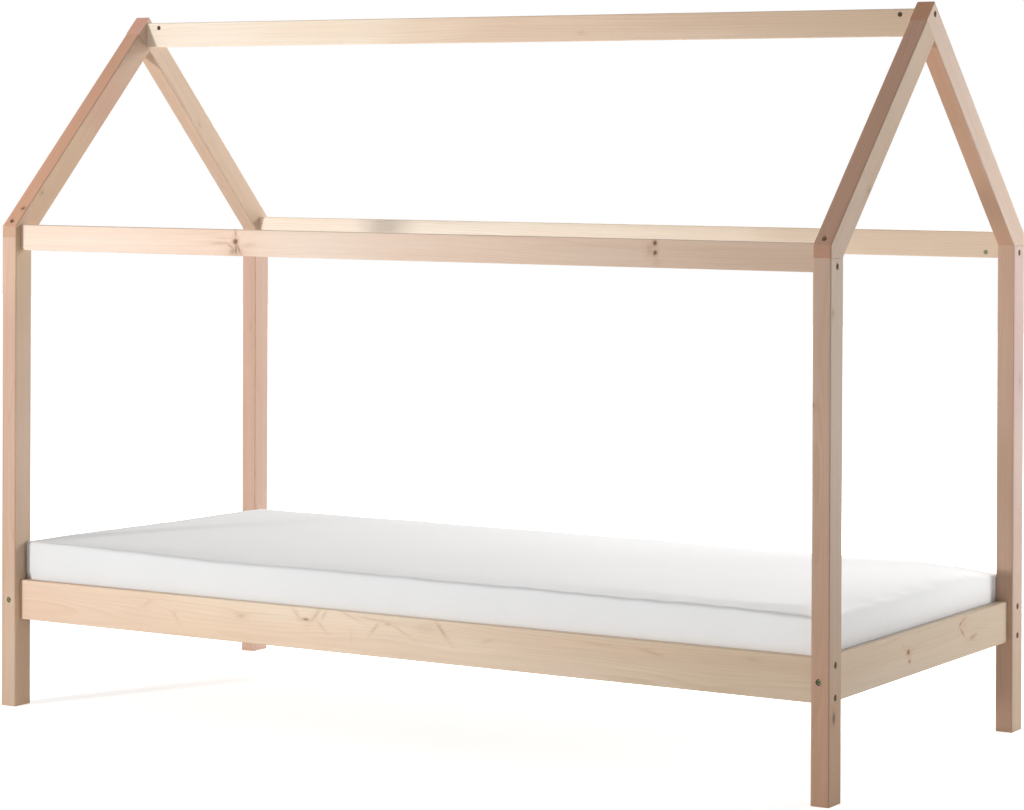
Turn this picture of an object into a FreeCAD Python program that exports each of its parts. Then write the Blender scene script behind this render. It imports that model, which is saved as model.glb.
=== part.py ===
# House frame bed in natural pine, millimetres.
#
# Frame: origin at the centre of the footprint on the floor, +X along the long
# side, -Y the open front, +Z up.  Each piece of timber is drawn in its own
# corner frame, with the sizes of the sheet "dims", and then set in place.
# Four posts carry four rafters; two eave rails and a ridge beam tie the gables
# together, and two side rails and two end rails make the bed box, which
# carries cleats, slats and the mattress.
import FreeCAD, Part
import Sketcher
import math
import os
from FreeCAD import Vector, Placement, Rotation

doc = FreeCAD.newDocument("house_frame_bed")
dims = doc.addObject("Spreadsheet::Sheet", "dims")

SIZES = [
    # the bed opening is made for one standard mattress
    ("mattress_length", 2000), ("mattress_width", 900), ("mattress_thick", 115),
    ("mattress_crown", 4), ("mattress_edge", 26),
    ("mattress_end_gap", 4), ("mattress_side_gap", 4), ("mattress_seat_gap", 0.3),
    # timber sections
    ("post_wide", 40), ("post_deep", 56), ("post_height", 1070),
    ("rafter_deep", 58), ("roof_pitch", 45),
    ("rail_thick", 20), ("bed_rail_high", 90), ("bed_rail_bottom", 198),
    ("end_rail_inset", 13),
    ("eave_rail_high", 58), ("ridge_high", 58), ("ridge_drop", 14),
    ("timber_edge", 3), ("rail_edge", 2.5),
    # slat base
    ("cleat_wide", 28), ("cleat_high", 30), ("cleat_end_gap", 48),
    ("slat_wide", 70), ("slat_thick", 18), ("slat_end_gap", 2),
    ("slat_first", 52), ("slat_count", 13), ("slat_edge", 2),
    # bolts with barrel nuts
    ("bolt_dia", 6), ("bolt_bore", 7), ("head_dia", 10), ("head_high", 6),
    ("head_bore", 13), ("head_sink", 9), ("bolt_key", 5),
    ("nut_dia", 10), ("nut_long", 14), ("nut_back", 35), ("nut_past", 10),
    ("nut_bore_deep", 15.5),
    ("side_bolt_edge", 13), ("eave_bolt_drop", 16.5), ("ridge_bolt_drop", 12),
    # dowels and screws
    ("dowel_dia", 8), ("dowel_in_post", 14), ("dowel_in_rail", 20),
    ("end_dowel_edge", 18), ("eave_dowel_rise", 14), ("ridge_dowel_rise", 16),
    ("toe_dowel_back", 42), ("toe_dowel_half", 20),
    ("screw_dia", 5), ("screw_head", 10), ("screw_head_high", 4),
    ("screw_head_bore", 12),
    ("toe_screw_in", 13), ("toe_screw_sink", 16), ("toe_screw_long", 90),
    ("apex_screw_sink", 10), ("apex_screw_long", 100),
    ("small_screw_dia", 4), ("small_head_dia", 8), ("small_head_high", 2),
    ("slat_screw_long", 34), ("cleat_screw_long", 40),
    ("fit_gap", 0.3),
    # flats round a bore or a rod: seen, of a nut or a head, hidden, of a pilot
    ("seen_sides", 16), ("nut_sides", 12), ("hidden_sides", 8), ("pilot_sides", 6),
]
for row, (alias, value) in enumerate(SIZES, start=1):
    dims.set("A%d" % row, alias)
    dims.set("B%d" % row, str(value))
    dims.setAlias("B%d" % row, alias)
doc.recompute()
D = {alias: float(value) for alias, value in SIZES}

# sizes that follow from the ones in the sheet
NAMED = {
    "bed_long": "(dims.mattress_length + 2 * dims.mattress_end_gap + 2 * dims.post_wide)",
    "rail_set": "((dims.post_deep - dims.rail_thick) / 2)",
    "bed_deep": "(dims.mattress_width + 2 * dims.mattress_side_gap"
                " + dims.post_deep + dims.rail_thick)",
    "clear_long": "(dims.mattress_length + 2 * dims.mattress_end_gap)",
    "inner_deep": "(dims.mattress_width + 2 * dims.mattress_side_gap)",
    "plumb": "(dims.rafter_deep / cos(dims.roof_pitch * 1 deg)"
             " - dims.post_deep * tan(dims.roof_pitch * 1 deg))",
    "rise": "tan(dims.roof_pitch * 1 deg)",
    "cleat_top": "(dims.bed_rail_bottom + dims.cleat_high)",
    "slat_top": "(dims.bed_rail_bottom + dims.cleat_high + dims.slat_thick)",
    "dowel_hole": "(dims.dowel_dia + 2 * dims.fit_gap)",
    "screw_hole": "(dims.screw_dia + 2 * dims.fit_gap)",
    "small_hole": "(dims.small_screw_dia + 2 * dims.fit_gap)",
    "small_head": "(dims.small_head_dia + 2 * dims.fit_gap)",
}
NAMED["span_deep"] = "(%s - 2 * dims.post_deep)" % NAMED["bed_deep"]
NAMED["apex"] = "(dims.post_height + %s + %s / 2 * %s)" % (
    NAMED["plumb"], NAMED["bed_deep"], NAMED["rise"])
NAMED["ridge_bottom"] = "(%s - dims.ridge_drop - dims.ridge_high)" % NAMED["apex"]
NAMED["eave_bottom"] = "(dims.post_height - dims.eave_rail_high / 2)"
NAMED["end_mid"] = "(dims.end_rail_inset + dims.rail_thick / 2)"


def ex(text):
    """Text with {named} sizes and bare sheet names, as a full expression."""
    text = text.format(**NAMED)
    out, word = [], ""
    for ch in text + " ":
        if ch.isalnum() or ch in "_.":
            word += ch
            continue
        out.append("dims." + word if word in D else word)
        out.append(ch)
        word = ""
    return "".join(out).strip()


def val(text):
    got = dims.evalExpression(ex(text))
    return float(getattr(got, "Value", got))


def bind(obj, prop, text):
    obj.setExpression(prop, ex(text))


def body(name):
    b = doc.addObject("PartDesign::Body", name)
    b.Label = name
    return b


def sketch(b, name, role, base=("0", "0", "0"), tilt=None):
    plane = [f for f in b.Origin.OriginFeatures if f.Role == role][0]
    s = b.newObject("Sketcher::SketchObject", b.Name + "_" + name)
    s.AttachmentSupport = [(plane, "")]
    s.MapMode = "FlatFace"
    if tilt:
        s.AttachmentOffset = Placement(Vector(), Rotation(Vector(1, 0, 0), val(tilt)))
    for axis, text in zip("xyz", base):
        if text != "0":
            bind(s, "AttachmentOffset.Base." + axis, text)
    return s


def put(s, geo, pos, x, y):
    """Fix a point of the sketch at x, y from the sketch's origin."""
    for kind, text, axis in (("DistanceX", x, -2), ("DistanceY", y, -1)):
        if text == "0":
            s.addConstraint(Sketcher.Constraint("PointOnObject", geo, pos, axis))
        else:
            n = s.addConstraint(Sketcher.Constraint(kind, -1, 1, geo, pos, val(text)))
            bind(s, "Constraints[%d]" % n, text)


def outline(s, points):
    """A closed run of straight lines through the given points."""
    at = [Vector(val(x), val(y), 0) for x, y in points]
    for i in range(len(at)):
        s.addGeometry(Part.LineSegment(at[i], at[(i + 1) % len(at)]), False)
    for i in range(len(at)):
        s.addConstraint(Sketcher.Constraint("Coincident", i, 2, (i + 1) % len(at), 1))
    for i, (x, y) in enumerate(points):
        put(s, i, 1, x, y)


def pad(b, s, length):
    p = b.newObject("PartDesign::Pad", b.Name + "_pad")
    p.Profile = s
    bind(p, "Length", length)
    doc.recompute()
    return p


def ease(b, base, pick, size, kind="Fillet"):
    """Round or bevel the edges of a feature that pick() takes."""
    names = ["Edge%d" % (i + 1) for i, e in enumerate(base.Shape.Edges) if pick(e)]
    f = b.newObject("PartDesign::" + kind, b.Name + "_" + kind.lower())
    f.Base = (base, names)
    bind(f, "Radius" if kind == "Fillet" else "Size", size)
    doc.recompute()
    return f


AX, AY, AZ = Vector(1, 0, 0), Vector(0, 1, 0), Vector(0, 0, 1)
CUTS = []


def drill(b, name, face, at, centres, dia, depth, sense, sides="hidden_sides",
          tilt=None, origin=None):
    """Bores from the plane face = at, running along sense * face.  A bore is a
    prism whose flats are dia apart, so a round of that size always passes."""
    role = {"X": "YZ_Plane", "Y": "XZ_Plane", "Z": "XY_Plane"}[face]
    s = sketch(b, name, role, origin or ("0", "0", at if face != "Y" else "-(%s)" % at), tilt)
    count, rim = int(D[sides]), "(%s) / cos(180 deg / %s)" % (dia, sides)
    for x, y in centres:
        middle, r = Vector(val(x), val(y), 0), val(rim) / 2
        c = s.addGeometry(Part.Circle(middle, Vector(0, 0, 1), r), True)
        put(s, c, 3, x, y)
        n = s.addConstraint(Sketcher.Constraint("Diameter", c, 2 * r))
        bind(s, "Constraints[%d]" % n, rim)
        turn = [2 * math.pi * i / count for i in range(count + 1)]
        at_rim = [middle + Vector(math.cos(t), math.sin(t), 0) * r for t in turn]
        first = [s.addGeometry(Part.LineSegment(at_rim[i], at_rim[i + 1]), False)
                 for i in range(count)]
        for i in range(count):
            s.addConstraint(Sketcher.Constraint("Coincident", first[i], 2, first[(i + 1) % count], 1))
            s.addConstraint(Sketcher.Constraint("PointOnObject", first[i], 1, c))
        for i in range(1, count):
            s.addConstraint(Sketcher.Constraint("Equal", first[0], first[i]))
        s.addConstraint(Sketcher.Constraint("Horizontal", first[0], 1, c, 3))
    p = b.newObject("PartDesign::Pocket", b.Name + "_" + name + "_cut")
    p.Profile = s
    bind(p, "Length", depth)
    p.Reversed = (sense > 0) == (face != "Y")
    CUTS.append(p)
    return p


def along(e, way, reach=5.0):
    """True for a straight edge that runs along way."""
    if e.Curve.TypeId != "Part::GeomLine" or e.Length < reach:
        return False
    return e.Curve.Direction.cross(way).Length < 1e-6


def settle(b, x, y, z, turn=0):
    b.Placement = Placement(Vector(), Rotation(Vector(0, 0, 1), turn))
    for axis, text in zip("xyz", (x, y, z)):
        if text != "0":
            bind(b, "Placement.Base." + axis, text)


BODIES = []

# ---------------------------------------------------------------- posts
def post(name, outer_low, x, y, turn):
    """Corner post; outer_low: its gable face is the one at x = 0."""
    b = body(name)
    s = sketch(b, "section", "XY_Plane")
    outline(s, [("0", "0"), ("post_wide", "0"), ("post_wide", "post_deep"), ("0", "post_deep")])
    p = pad(b, s, "post_height")
    ease(b, p, lambda e: along(e, AZ, 200), "timber_edge")
    gable = "0" if outer_low else "post_wide"
    into = 1 if outer_low else -1
    mid = "post_deep / 2"
    rows = [(mid, "bed_rail_bottom + side_bolt_edge"),
            (mid, "bed_rail_bottom + bed_rail_high - side_bolt_edge"),
            (mid, "post_height - eave_bolt_drop")]
    drill(b, "bolt_bores", "X", gable, rows, "bolt_bore", "post_wide", into)
    drill(b, "bolt_heads", "X", gable, rows, "head_bore", "head_sink", into, "seen_sides")
    across = "{end_mid}" if outer_low else "post_wide - {end_mid}"
    centre = [(across, "bed_rail_bottom + bed_rail_high / 2")]
    drill(b, "end_bore", "Y", "0", centre, "bolt_bore", "post_deep", 1)
    drill(b, "end_head", "Y", "0", centre, "head_bore", "head_sink", 1, "seen_sides")
    drill(b, "end_dowels", "Y", "post_deep",
          [(across, "bed_rail_bottom + end_dowel_edge"),
           (across, "bed_rail_bottom + bed_rail_high - end_dowel_edge")],
          "{dowel_hole}", "dowel_in_post + fit_gap", -1)
    drill(b, "toe_dowel", "Z", "post_height", [("post_wide / 2", "toe_dowel_back")],
          "{dowel_hole}", "toe_dowel_half + fit_gap", -1)
    drill(b, "toe_pilot", "Z", "post_height", [("post_wide / 2", "toe_screw_in")],
          "{screw_hole}",
          "toe_screw_long + toe_screw_sink - {plumb} - toe_screw_in * {rise} + fit_gap", -1)
    settle(b, x, y, "0", turn)
    BODIES.append(b)


HX, HY = "{bed_long} / 2", "{bed_deep} / 2"
post("post_front_left", True, "-" + HX, "-" + HY, 0)
post("post_back_right", True, HX, HY, 180)
post("post_front_right", False, HX + " - post_wide", "-" + HY, 0)
post("post_back_left", False, "-" + HX + " + post_wide", HY, 180)

# ---------------------------------------------------------------- rafters
# u runs inwards from the post's outer face, v up from the top of the post.
# The back rafter runs through to the peak and is cut in line with the front
# slope; the front rafter butts against the underside of the back one.
THROUGH_U = "({plumb} / {rise} + {bed_deep} + post_deep) / 2"
BUTT_U = "({bed_deep} - post_deep - {plumb} / {rise}) / 2"
THROUGH = [("0", "0"), ("post_deep", "0"),
           (THROUGH_U, "(" + THROUGH_U + " - post_deep) * {rise}"),
           ("{bed_deep} / 2", "{plumb} + {bed_deep} / 2 * {rise}"),
           ("0", "{plumb}")]
BUTT = [("0", "0"), ("post_deep", "0"),
        ("{bed_deep} / 2", "({bed_deep} / 2 - post_deep) * {rise}"),
        (BUTT_U, "{plumb} + " + BUTT_U + " * {rise}"),
        ("0", "{plumb}")]
TILT = math.radians(val("roof_pitch"))
SLOPE = Vector(0, math.cos(TILT), math.sin(TILT))
# middle of the joint at the peak, along the back slope from its foot
PEAK_S = ("{bed_deep} / 2 / cos(roof_pitch * 1 deg)"
          " + rafter_deep * (cos(roof_pitch * 2 deg) - 0.5) / sin(roof_pitch * 2 deg)")
PEAK_DEEP = "apex_screw_sink + apex_screw_long - rafter_deep + fit_gap"


def rafter(name, through, outer_low, x, y, turn):
    b = body(name)
    s = sketch(b, "section", "YZ_Plane")
    outline(s, THROUGH if through else BUTT)
    p = pad(b, s, "post_wide")
    ease(b, p, lambda e: along(e, SLOPE) or along(e, AZ), "timber_edge")
    drill(b, "toe_dowel", "Z", "0", [("post_wide / 2", "toe_dowel_back")],
          "{dowel_hole}", "toe_dowel_half + fit_gap", 1)
    drill(b, "toe_bore", "Z", "0", [("post_wide / 2", "toe_screw_in")],
          "{screw_hole}", "{plumb} + 2 * post_deep * {rise}", 1)
    drill(b, "toe_head", "Z", "{plumb} + toe_screw_in * {rise} - toe_screw_sink",
          [("post_wide / 2", "toe_screw_in")], "screw_head_bore",
          "toe_screw_sink + screw_head_bore * {rise}", 1, "seen_sides")
    inner = "post_wide" if outer_low else "0"
    drill(b, "eave_dowel", "X", inner, [("post_deep / 2", "eave_dowel_rise")],
          "{dowel_hole}", "dowel_in_post + fit_gap", -1 if outer_low else 1)
    if through:
        outer = "0" if outer_low else "post_wide"
        into = 1 if outer_low else -1
        up = "{ridge_bottom} - post_height"
        row = [("{bed_deep} / 2", up + " + ridge_high - ridge_bolt_drop")]
        drill(b, "ridge_bore", "X", outer, row, "bolt_bore", "post_wide", into)
        drill(b, "ridge_head", "X", outer, row, "head_bore", "head_sink", into, "seen_sides")
        drill(b, "ridge_dowel", "X", inner, [("{bed_deep} / 2", up + " + ridge_dowel_rise")],
              "{dowel_hole}", "dowel_in_post + fit_gap", -into)
        foot = ("post_wide / 2", "0", "{plumb}")
        drill(b, "peak_bore", "Z", None, [("0", PEAK_S)], "{screw_hole}",
              "rafter_deep + screw_head_bore", -1, "hidden_sides", "roof_pitch", foot)
        drill(b, "peak_head", "Z", None, [("0", PEAK_S)], "screw_head_bore",
              "apex_screw_sink", -1, "seen_sides", "roof_pitch", foot)
    else:
        foot = ("post_wide / 2",
                "({bed_deep} / 2 + " + BUTT_U + ") / 2",
                "(({bed_deep} / 2 - post_deep) * {rise} + {plumb} + " + BUTT_U + " * {rise}) / 2")
        drill(b, "peak_pilot", "Z", None, [("0", "0")], "{screw_hole}", PEAK_DEEP, -1,
              "hidden_sides", "-roof_pitch", foot)
    settle(b, x, y, "post_height", turn)
    BODIES.append(b)


rafter("rafter_front_left", False, True, "-" + HX, "-" + HY, 0)
rafter("rafter_back_right", True, True, HX, HY, 180)
rafter("rafter_front_right", False, False, HX + " - post_wide", "-" + HY, 0)
rafter("rafter_back_left", True, False, "-" + HX + " + post_wide", HY, 180)

# ---------------------------------------------------------------- rails
# Every rail is drawn with its length along x, its outer face at y = 0 and its
# lower edge at z = 0.  Barrel nuts go in from the inner face.
def rail(name, length, high, bolts, dowels, spot, turn, cleat=False, nuts_outside=False):
    b = body(name)
    s = sketch(b, "section", "YZ_Plane")
    outline(s, [("0", "0"), ("rail_thick", "0"), ("rail_thick", high), ("0", high)])
    p = pad(b, s, length)
    ease(b, p, lambda e: along(e, AX, 200), "rail_edge")
    mid = "rail_thick / 2"
    for end, at, into in (("low", "0", 1), ("high", length, -1)):
        drill(b, "bolt_" + end, "X", at, [(mid, z) for z in bolts], "bolt_bore",
              "nut_back + nut_past + fit_gap", into)
        if dowels:
            drill(b, "dowel_" + end, "X", at, [(mid, z) for z in dowels], "{dowel_hole}",
                  "dowel_in_rail + fit_gap", into)
    crossing = [(x, z) for z in bolts for x in ("nut_back", length + " - nut_back")]
    drill(b, "nuts", "Y", "0" if nuts_outside else "rail_thick", crossing,
          "nut_dia + 2 * fit_gap", "nut_bore_deep", 1 if nuts_outside else -1, "nut_sides")
    if cleat:
        drill(b, "cleat_pilots", "Y", "rail_thick",
              [(x, "cleat_high / 2") for x in BETWEEN],
              "{small_hole}", "cleat_screw_long - cleat_wide + fit_gap", -1, "pilot_sides")
    settle(b, *spot, turn)
    BODIES.append(b)


COUNT = int(D["slat_count"])
PITCH = "(({clear_long} - 2 * slat_first - slat_wide) / (slat_count - 1))"
SLATS = ["(slat_first + %d * %s)" % (i, PITCH) for i in range(COUNT)]
BETWEEN = ["(slat_first + slat_wide / 2 + %.1f * %s)" % (i + 0.5, PITCH)
           for i in range(0, COUNT - 1, 2)]
BED_BOLTS = ["side_bolt_edge", "bed_rail_high - side_bolt_edge"]
rail("side_rail_front", "{clear_long}", "bed_rail_high", BED_BOLTS, [],
     ("-" + "{clear_long} / 2", "-" + HY + " + {rail_set}", "bed_rail_bottom"), 0, True)
rail("side_rail_back", "{clear_long}", "bed_rail_high", BED_BOLTS, [],
     ("{clear_long} / 2", HY + " - {rail_set}", "bed_rail_bottom"), 180, True)
END_DOWELS = ["end_dowel_edge", "bed_rail_high - end_dowel_edge"]
rail("end_rail_right", "{span_deep}", "bed_rail_high", ["bed_rail_high / 2"], END_DOWELS,
     (HX + " - end_rail_inset", "-" + "{span_deep} / 2", "bed_rail_bottom"), 90)
rail("end_rail_left", "{span_deep}", "bed_rail_high", ["bed_rail_high / 2"], END_DOWELS,
     ("-" + HX + " + end_rail_inset", "{span_deep} / 2", "bed_rail_bottom"), -90)
EAVE_BOLTS = ["eave_rail_high / 2 - eave_bolt_drop"]
EAVE_DOWELS = ["eave_rail_high / 2 + eave_dowel_rise"]
rail("eave_rail_front", "{clear_long}", "eave_rail_high", EAVE_BOLTS, EAVE_DOWELS,
     ("-" + "{clear_long} / 2", "-" + HY + " + {rail_set}", "{eave_bottom}"), 0)
rail("eave_rail_back", "{clear_long}", "eave_rail_high", EAVE_BOLTS, EAVE_DOWELS,
     ("{clear_long} / 2", HY + " - {rail_set}", "{eave_bottom}"), 180)
rail("ridge_beam", "{clear_long}", "ridge_high", ["ridge_high - ridge_bolt_drop"],
     ["ridge_dowel_rise"], ("-" + "{clear_long} / 2", "-rail_thick / 2", "{ridge_bottom}"), 0,
     False, True)

# ---------------------------------------------------------------- slat base
for side, turn in (("front", 0), ("back", 180)):
    b = body("slat_cleat_" + side)
    s = sketch(b, "section", "YZ_Plane")
    outline(s, [("0", "0"), ("cleat_wide", "0"), ("cleat_wide", "cleat_high"), ("0", "cleat_high")])
    p = pad(b, s, "{clear_long} - 2 * cleat_end_gap")
    ease(b, p, lambda e: along(e, AX, 200) and e.BoundBox.YMin > 1, "slat_edge", "Chamfer")
    drill(b, "slat_pilots", "Z", "cleat_high",
          [(x + " + slat_wide / 2 - cleat_end_gap", "cleat_wide / 2") for x in SLATS],
          "{small_hole}", "slat_screw_long - slat_thick + fit_gap", -1, "pilot_sides")
    drill(b, "screws", "Y", "cleat_wide",
          [(x + " - cleat_end_gap", "cleat_high / 2") for x in BETWEEN],
          "{small_hole}", "cleat_wide", -1, "pilot_sides")
    drill(b, "screw_heads", "Y", "cleat_wide",
          [(x + " - cleat_end_gap", "cleat_high / 2") for x in BETWEEN],
          "{small_head}", "small_head_high", -1, "pilot_sides")
    sign = "-" if turn == 0 else ""
    settle(b, sign + "({clear_long} / 2 - cleat_end_gap)", sign + "{inner_deep} / 2",
           "bed_rail_bottom", turn)
    BODIES.append(b)

for i, start in enumerate(SLATS):
    b = body("slat_%02d" % (i + 1))
    s = sketch(b, "section", "XZ_Plane")
    outline(s, [("0", "0"), ("slat_wide", "0"), ("slat_wide", "slat_thick"), ("0", "slat_thick")])
    p = pad(b, s, "{inner_deep} - 2 * slat_end_gap")
    p.Reversed = True
    doc.recompute()
    ease(b, p, lambda e: along(e, AY, 200) and e.BoundBox.ZMin > 1, "slat_edge", "Chamfer")
    drill(b, "screws", "Z", "slat_thick",
          [("slat_wide / 2", "cleat_wide / 2 - slat_end_gap"),
           ("slat_wide / 2", "{inner_deep} - slat_end_gap - cleat_wide / 2")],
          "{small_hole}", "slat_thick", -1, "pilot_sides")
    drill(b, "screw_heads", "Z", "slat_thick",
          [("slat_wide / 2", "cleat_wide / 2 - slat_end_gap"),
           ("slat_wide / 2", "{inner_deep} - slat_end_gap - cleat_wide / 2")],
          "{small_head}", "small_head_high", -1, "pilot_sides")
    settle(b, "-{clear_long} / 2 + " + start, "-{inner_deep} / 2 + slat_end_gap", "{cleat_top}")
    BODIES.append(b)

doc.recompute()

# ---------------------------------------------------------------- mattress
V = {k: val(t) for k, t in (
    ("hx", HX), ("hy", HY), ("plumb", "{plumb}"), ("rise", "{rise}"), ("mid", "{end_mid}"),
    ("ridge", "{ridge_bottom}"), ("seat", "{slat_top}"), ("span", "{span_deep}"),
    ("long", "{clear_long}"), ("inner", "{inner_deep}"), ("pitch", PITCH), ("peak", PEAK_S))}


def arc(a, m, b):
    return Part.Arc(Vector(*a), Vector(*m), Vector(*b)).toShape()


def cushion_section(x, draw, drop):
    """Closed outline across the mattress: flat below, round at the edges,
    a little crowned above; draw and drop pull it in towards an end."""
    w = D["mattress_width"] / 2 - draw
    low = D["mattress_seat_gap"] + V["seat"] + drop * 0.6
    top = V["seat"] + D["mattress_seat_gap"] + D["mattress_thick"] - drop
    r = min(D["mattress_edge"], (top - low) / 2.6)
    k = r * (1 - math.sqrt(0.5))
    crown = D["mattress_crown"]
    edges = [
        Part.LineSegment(Vector(x, -w + r, low), Vector(x, w - r, low)).toShape(),
        arc((x, w - r, low), (x, w - k, low + k), (x, w, low + r)),
        Part.LineSegment(Vector(x, w, low + r), Vector(x, w, top - r)).toShape(),
        arc((x, w, top - r), (x, w - k, top - k), (x, w - r, top)),
        arc((x, w - r, top), (x, 0, top + crown), (x, -w + r, top)),
        arc((x, -w + r, top), (x, -w + k, top - k), (x, -w, top - r)),
        Part.LineSegment(Vector(x, -w, top - r), Vector(x, -w, low + r)).toShape(),
        arc((x, -w, low + r), (x, -w + k, low + k), (x, -w + r, low)),
    ]
    return Part.Wire(Part.__sortEdges__(edges))


hl = D["mattress_length"] / 2
edge = D["mattress_edge"]
steps = [(hl, 0.55 * edge, 0.55 * edge), (hl - 0.15 * edge, 0.22 * edge, 0.24 * edge),
         (hl - 0.5 * edge, 0.06 * edge, 0.07 * edge), (hl - edge, 0.0, 0.0)]
sections = ([cushion_section(-x, a, c) for x, a, c in steps]
            + [cushion_section(x, a, c) for x, a, c in reversed(steps)])
mattress = doc.addObject("Part::Feature", "mattress")
mattress.Label = "mattress"
mattress.Shape = Part.makeLoft(sections, True, True)

# ---------------------------------------------------------------- fasteners
CORNERS = [(1, -1), (-1, -1), (-1, 1), (1, 1)]


def corner(sx, sy, in_x, in_y, z):
    """A point that lies in_x, in_y inside the outer corner of a post."""
    return Vector(sx * (V["hx"] - in_x), sy * (V["hy"] - in_y), z)


def stand(shape, at, way):
    """Move a shape drawn along +z from the origin to at, along way."""
    shape.Placement = Placement(at, Rotation(AZ, way))
    return shape


def rod(sides, dia, low, high):
    """Prism of that many sides, dia across its corners, from low to high."""
    ring = [Vector(dia / 2 * math.cos(2 * math.pi * i / sides),
                   dia / 2 * math.sin(2 * math.pi * i / sides), low) for i in range(sides)]
    return Part.Face(Part.makePolygon(ring + ring[:1])).extrude(Vector(0, 0, high - low))


ROUND, NUTS = int(D["seen_sides"]), int(D["nut_sides"])
HIDDEN, PILOT = int(D["hidden_sides"]), int(D["pilot_sides"])


def bolt(at, way, reach):
    """Socket-head bolt; at is the seat of its head, reach its length."""
    shank = rod(HIDDEN, D["bolt_dia"], 0, reach)
    head = rod(NUTS, D["head_dia"], -D["head_high"], 0)
    socket = rod(6, D["bolt_key"] / math.cos(math.pi / 6), -D["head_high"], -D["head_high"] / 2)
    return stand(head.fuse(shank).cut(socket), at, way)


def screw(at, way, reach):
    """Wood screw with a flat head above its seat."""
    shank = rod(HIDDEN, D["screw_dia"], 0, reach)
    return stand(rod(NUTS, D["screw_head"], -D["screw_head_high"], 0).fuse(shank), at, way)


def small_screw(at, way, reach):
    """Flat-headed screw; at is the middle of its flush head."""
    high = D["small_head_high"]
    head = rod(PILOT, D["small_head_dia"], 0, high)
    return stand(head.fuse(rod(PILOT, D["small_screw_dia"], high, reach)), at, way)


def nut(centre, open_way, bolt_way):
    """open_way points from the rail's middle to the face the nut goes in by."""
    sink = (D["nut_bore_deep"] - D["nut_long"]) / 2
    shell = stand(rod(NUTS, D["nut_dia"], 0, D["nut_long"]),
                  centre + open_way * (D["rail_thick"] / 2 - sink), open_way * -1)
    across = (D["bolt_dia"] + 2 * D["fit_gap"]) / math.cos(math.pi / HIDDEN)
    return shell.cut(stand(rod(HIDDEN, across, -D["nut_dia"], D["nut_dia"]), centre, bolt_way))


def peg(at, way, reach):
    return stand(rod(HIDDEN, D["dowel_dia"], 0, reach), at, way)


GROUPS = {}


def add(name, solid):
    GROUPS.setdefault(name, []).append(solid)


low, high = D["bed_rail_bottom"], D["bed_rail_bottom"] + D["bed_rail_high"]
BOLT = D["post_wide"] + D["nut_back"] + D["nut_past"] - D["head_sink"]
PEG = D["dowel_in_post"] + D["dowel_in_rail"]
for sx, sy in CORNERS:
    inx, iny = Vector(-sx, 0, 0), Vector(0, -sy, 0)
    mid = D["post_deep"] / 2
    nut_x = D["post_wide"] + D["nut_back"]
    for z in (low + D["side_bolt_edge"], high - D["side_bolt_edge"]):
        add("side_rail_bolts", bolt(corner(sx, sy, D["head_sink"], mid, z), inx, BOLT))
        add("side_rail_nuts", nut(corner(sx, sy, nut_x, mid, z), iny, inx))
    z = D["post_height"] - D["eave_bolt_drop"]
    add("eave_rail_bolts", bolt(corner(sx, sy, D["head_sink"], mid, z), inx, BOLT))
    add("eave_rail_nuts", nut(corner(sx, sy, nut_x, mid, z), iny, inx))
    z = D["post_height"] + D["eave_dowel_rise"]
    add("eave_rail_dowels", peg(corner(sx, sy, D["post_wide"] - D["dowel_in_post"], mid, z),
                                inx, PEG))
    z = (low + high) / 2
    add("end_rail_bolts", bolt(corner(sx, sy, V["mid"], D["head_sink"], z), iny,
                               BOLT - D["post_wide"] + D["post_deep"]))
    add("end_rail_nuts", nut(corner(sx, sy, V["mid"], D["post_deep"] + D["nut_back"], z),
                             inx, iny))
    for z in (low + D["end_dowel_edge"], high - D["end_dowel_edge"]):
        add("end_rail_dowels",
            peg(corner(sx, sy, V["mid"], D["post_deep"] - D["dowel_in_post"], z), iny, PEG))
    half = D["post_wide"] / 2
    add("rafter_toe_dowels",
        peg(corner(sx, sy, half, D["toe_dowel_back"], D["post_height"] - D["toe_dowel_half"]),
            AZ, 2 * D["toe_dowel_half"]))
    z = D["post_height"] + V["plumb"] + D["toe_screw_in"] * V["rise"] - D["toe_screw_sink"]
    add("rafter_toe_screws",
        screw(corner(sx, sy, half, D["toe_screw_in"], z), AZ * -1, D["toe_screw_long"]))

for sx in (1, -1):
    inx = Vector(-sx, 0, 0)
    z = V["ridge"] + D["ridge_high"] - D["ridge_bolt_drop"]
    add("ridge_bolts", bolt(Vector(sx * (V["hx"] - D["head_sink"]), 0, z), inx, BOLT))
    add("ridge_nuts", nut(Vector(sx * (V["hx"] - D["post_wide"] - D["nut_back"]), 0, z),
                          Vector(0, -1, 0), inx))
    add("ridge_dowels",
        peg(Vector(sx * (V["hx"] - D["post_wide"] + D["dowel_in_post"]), 0,
                   V["ridge"] + D["ridge_dowel_rise"]), inx, PEG))
    down = Vector(0, -math.sin(TILT), -math.cos(TILT))
    top = Vector(sx * (V["hx"] - D["post_wide"] / 2),
                 V["hy"] - V["peak"] * math.cos(TILT),
                 D["post_height"] + V["plumb"] + V["peak"] * math.sin(TILT))
    add("peak_screws", screw(top + down * D["apex_screw_sink"], down, D["apex_screw_long"]))

for sy in (-1, 1):
    for i in range(COUNT):
        x = -V["long"] / 2 + D["slat_first"] + D["slat_wide"] / 2 + i * V["pitch"]
        y = sy * (V["inner"] / 2 - D["cleat_wide"] / 2)
        add("slat_screws", small_screw(Vector(x, y, V["seat"]), AZ * -1, D["slat_screw_long"]))
    for i in range(0, COUNT - 1, 2):
        x = D["slat_first"] + D["slat_wide"] / 2 + (i + 0.5) * V["pitch"] - V["long"] / 2
        at = Vector(sy * -x, sy * (V["inner"] / 2 - D["cleat_wide"]),
                    D["bed_rail_bottom"] + D["cleat_high"] / 2)
        add("cleat_screws", small_screw(at, Vector(0, sy, 0), D["cleat_screw_long"]))

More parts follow.
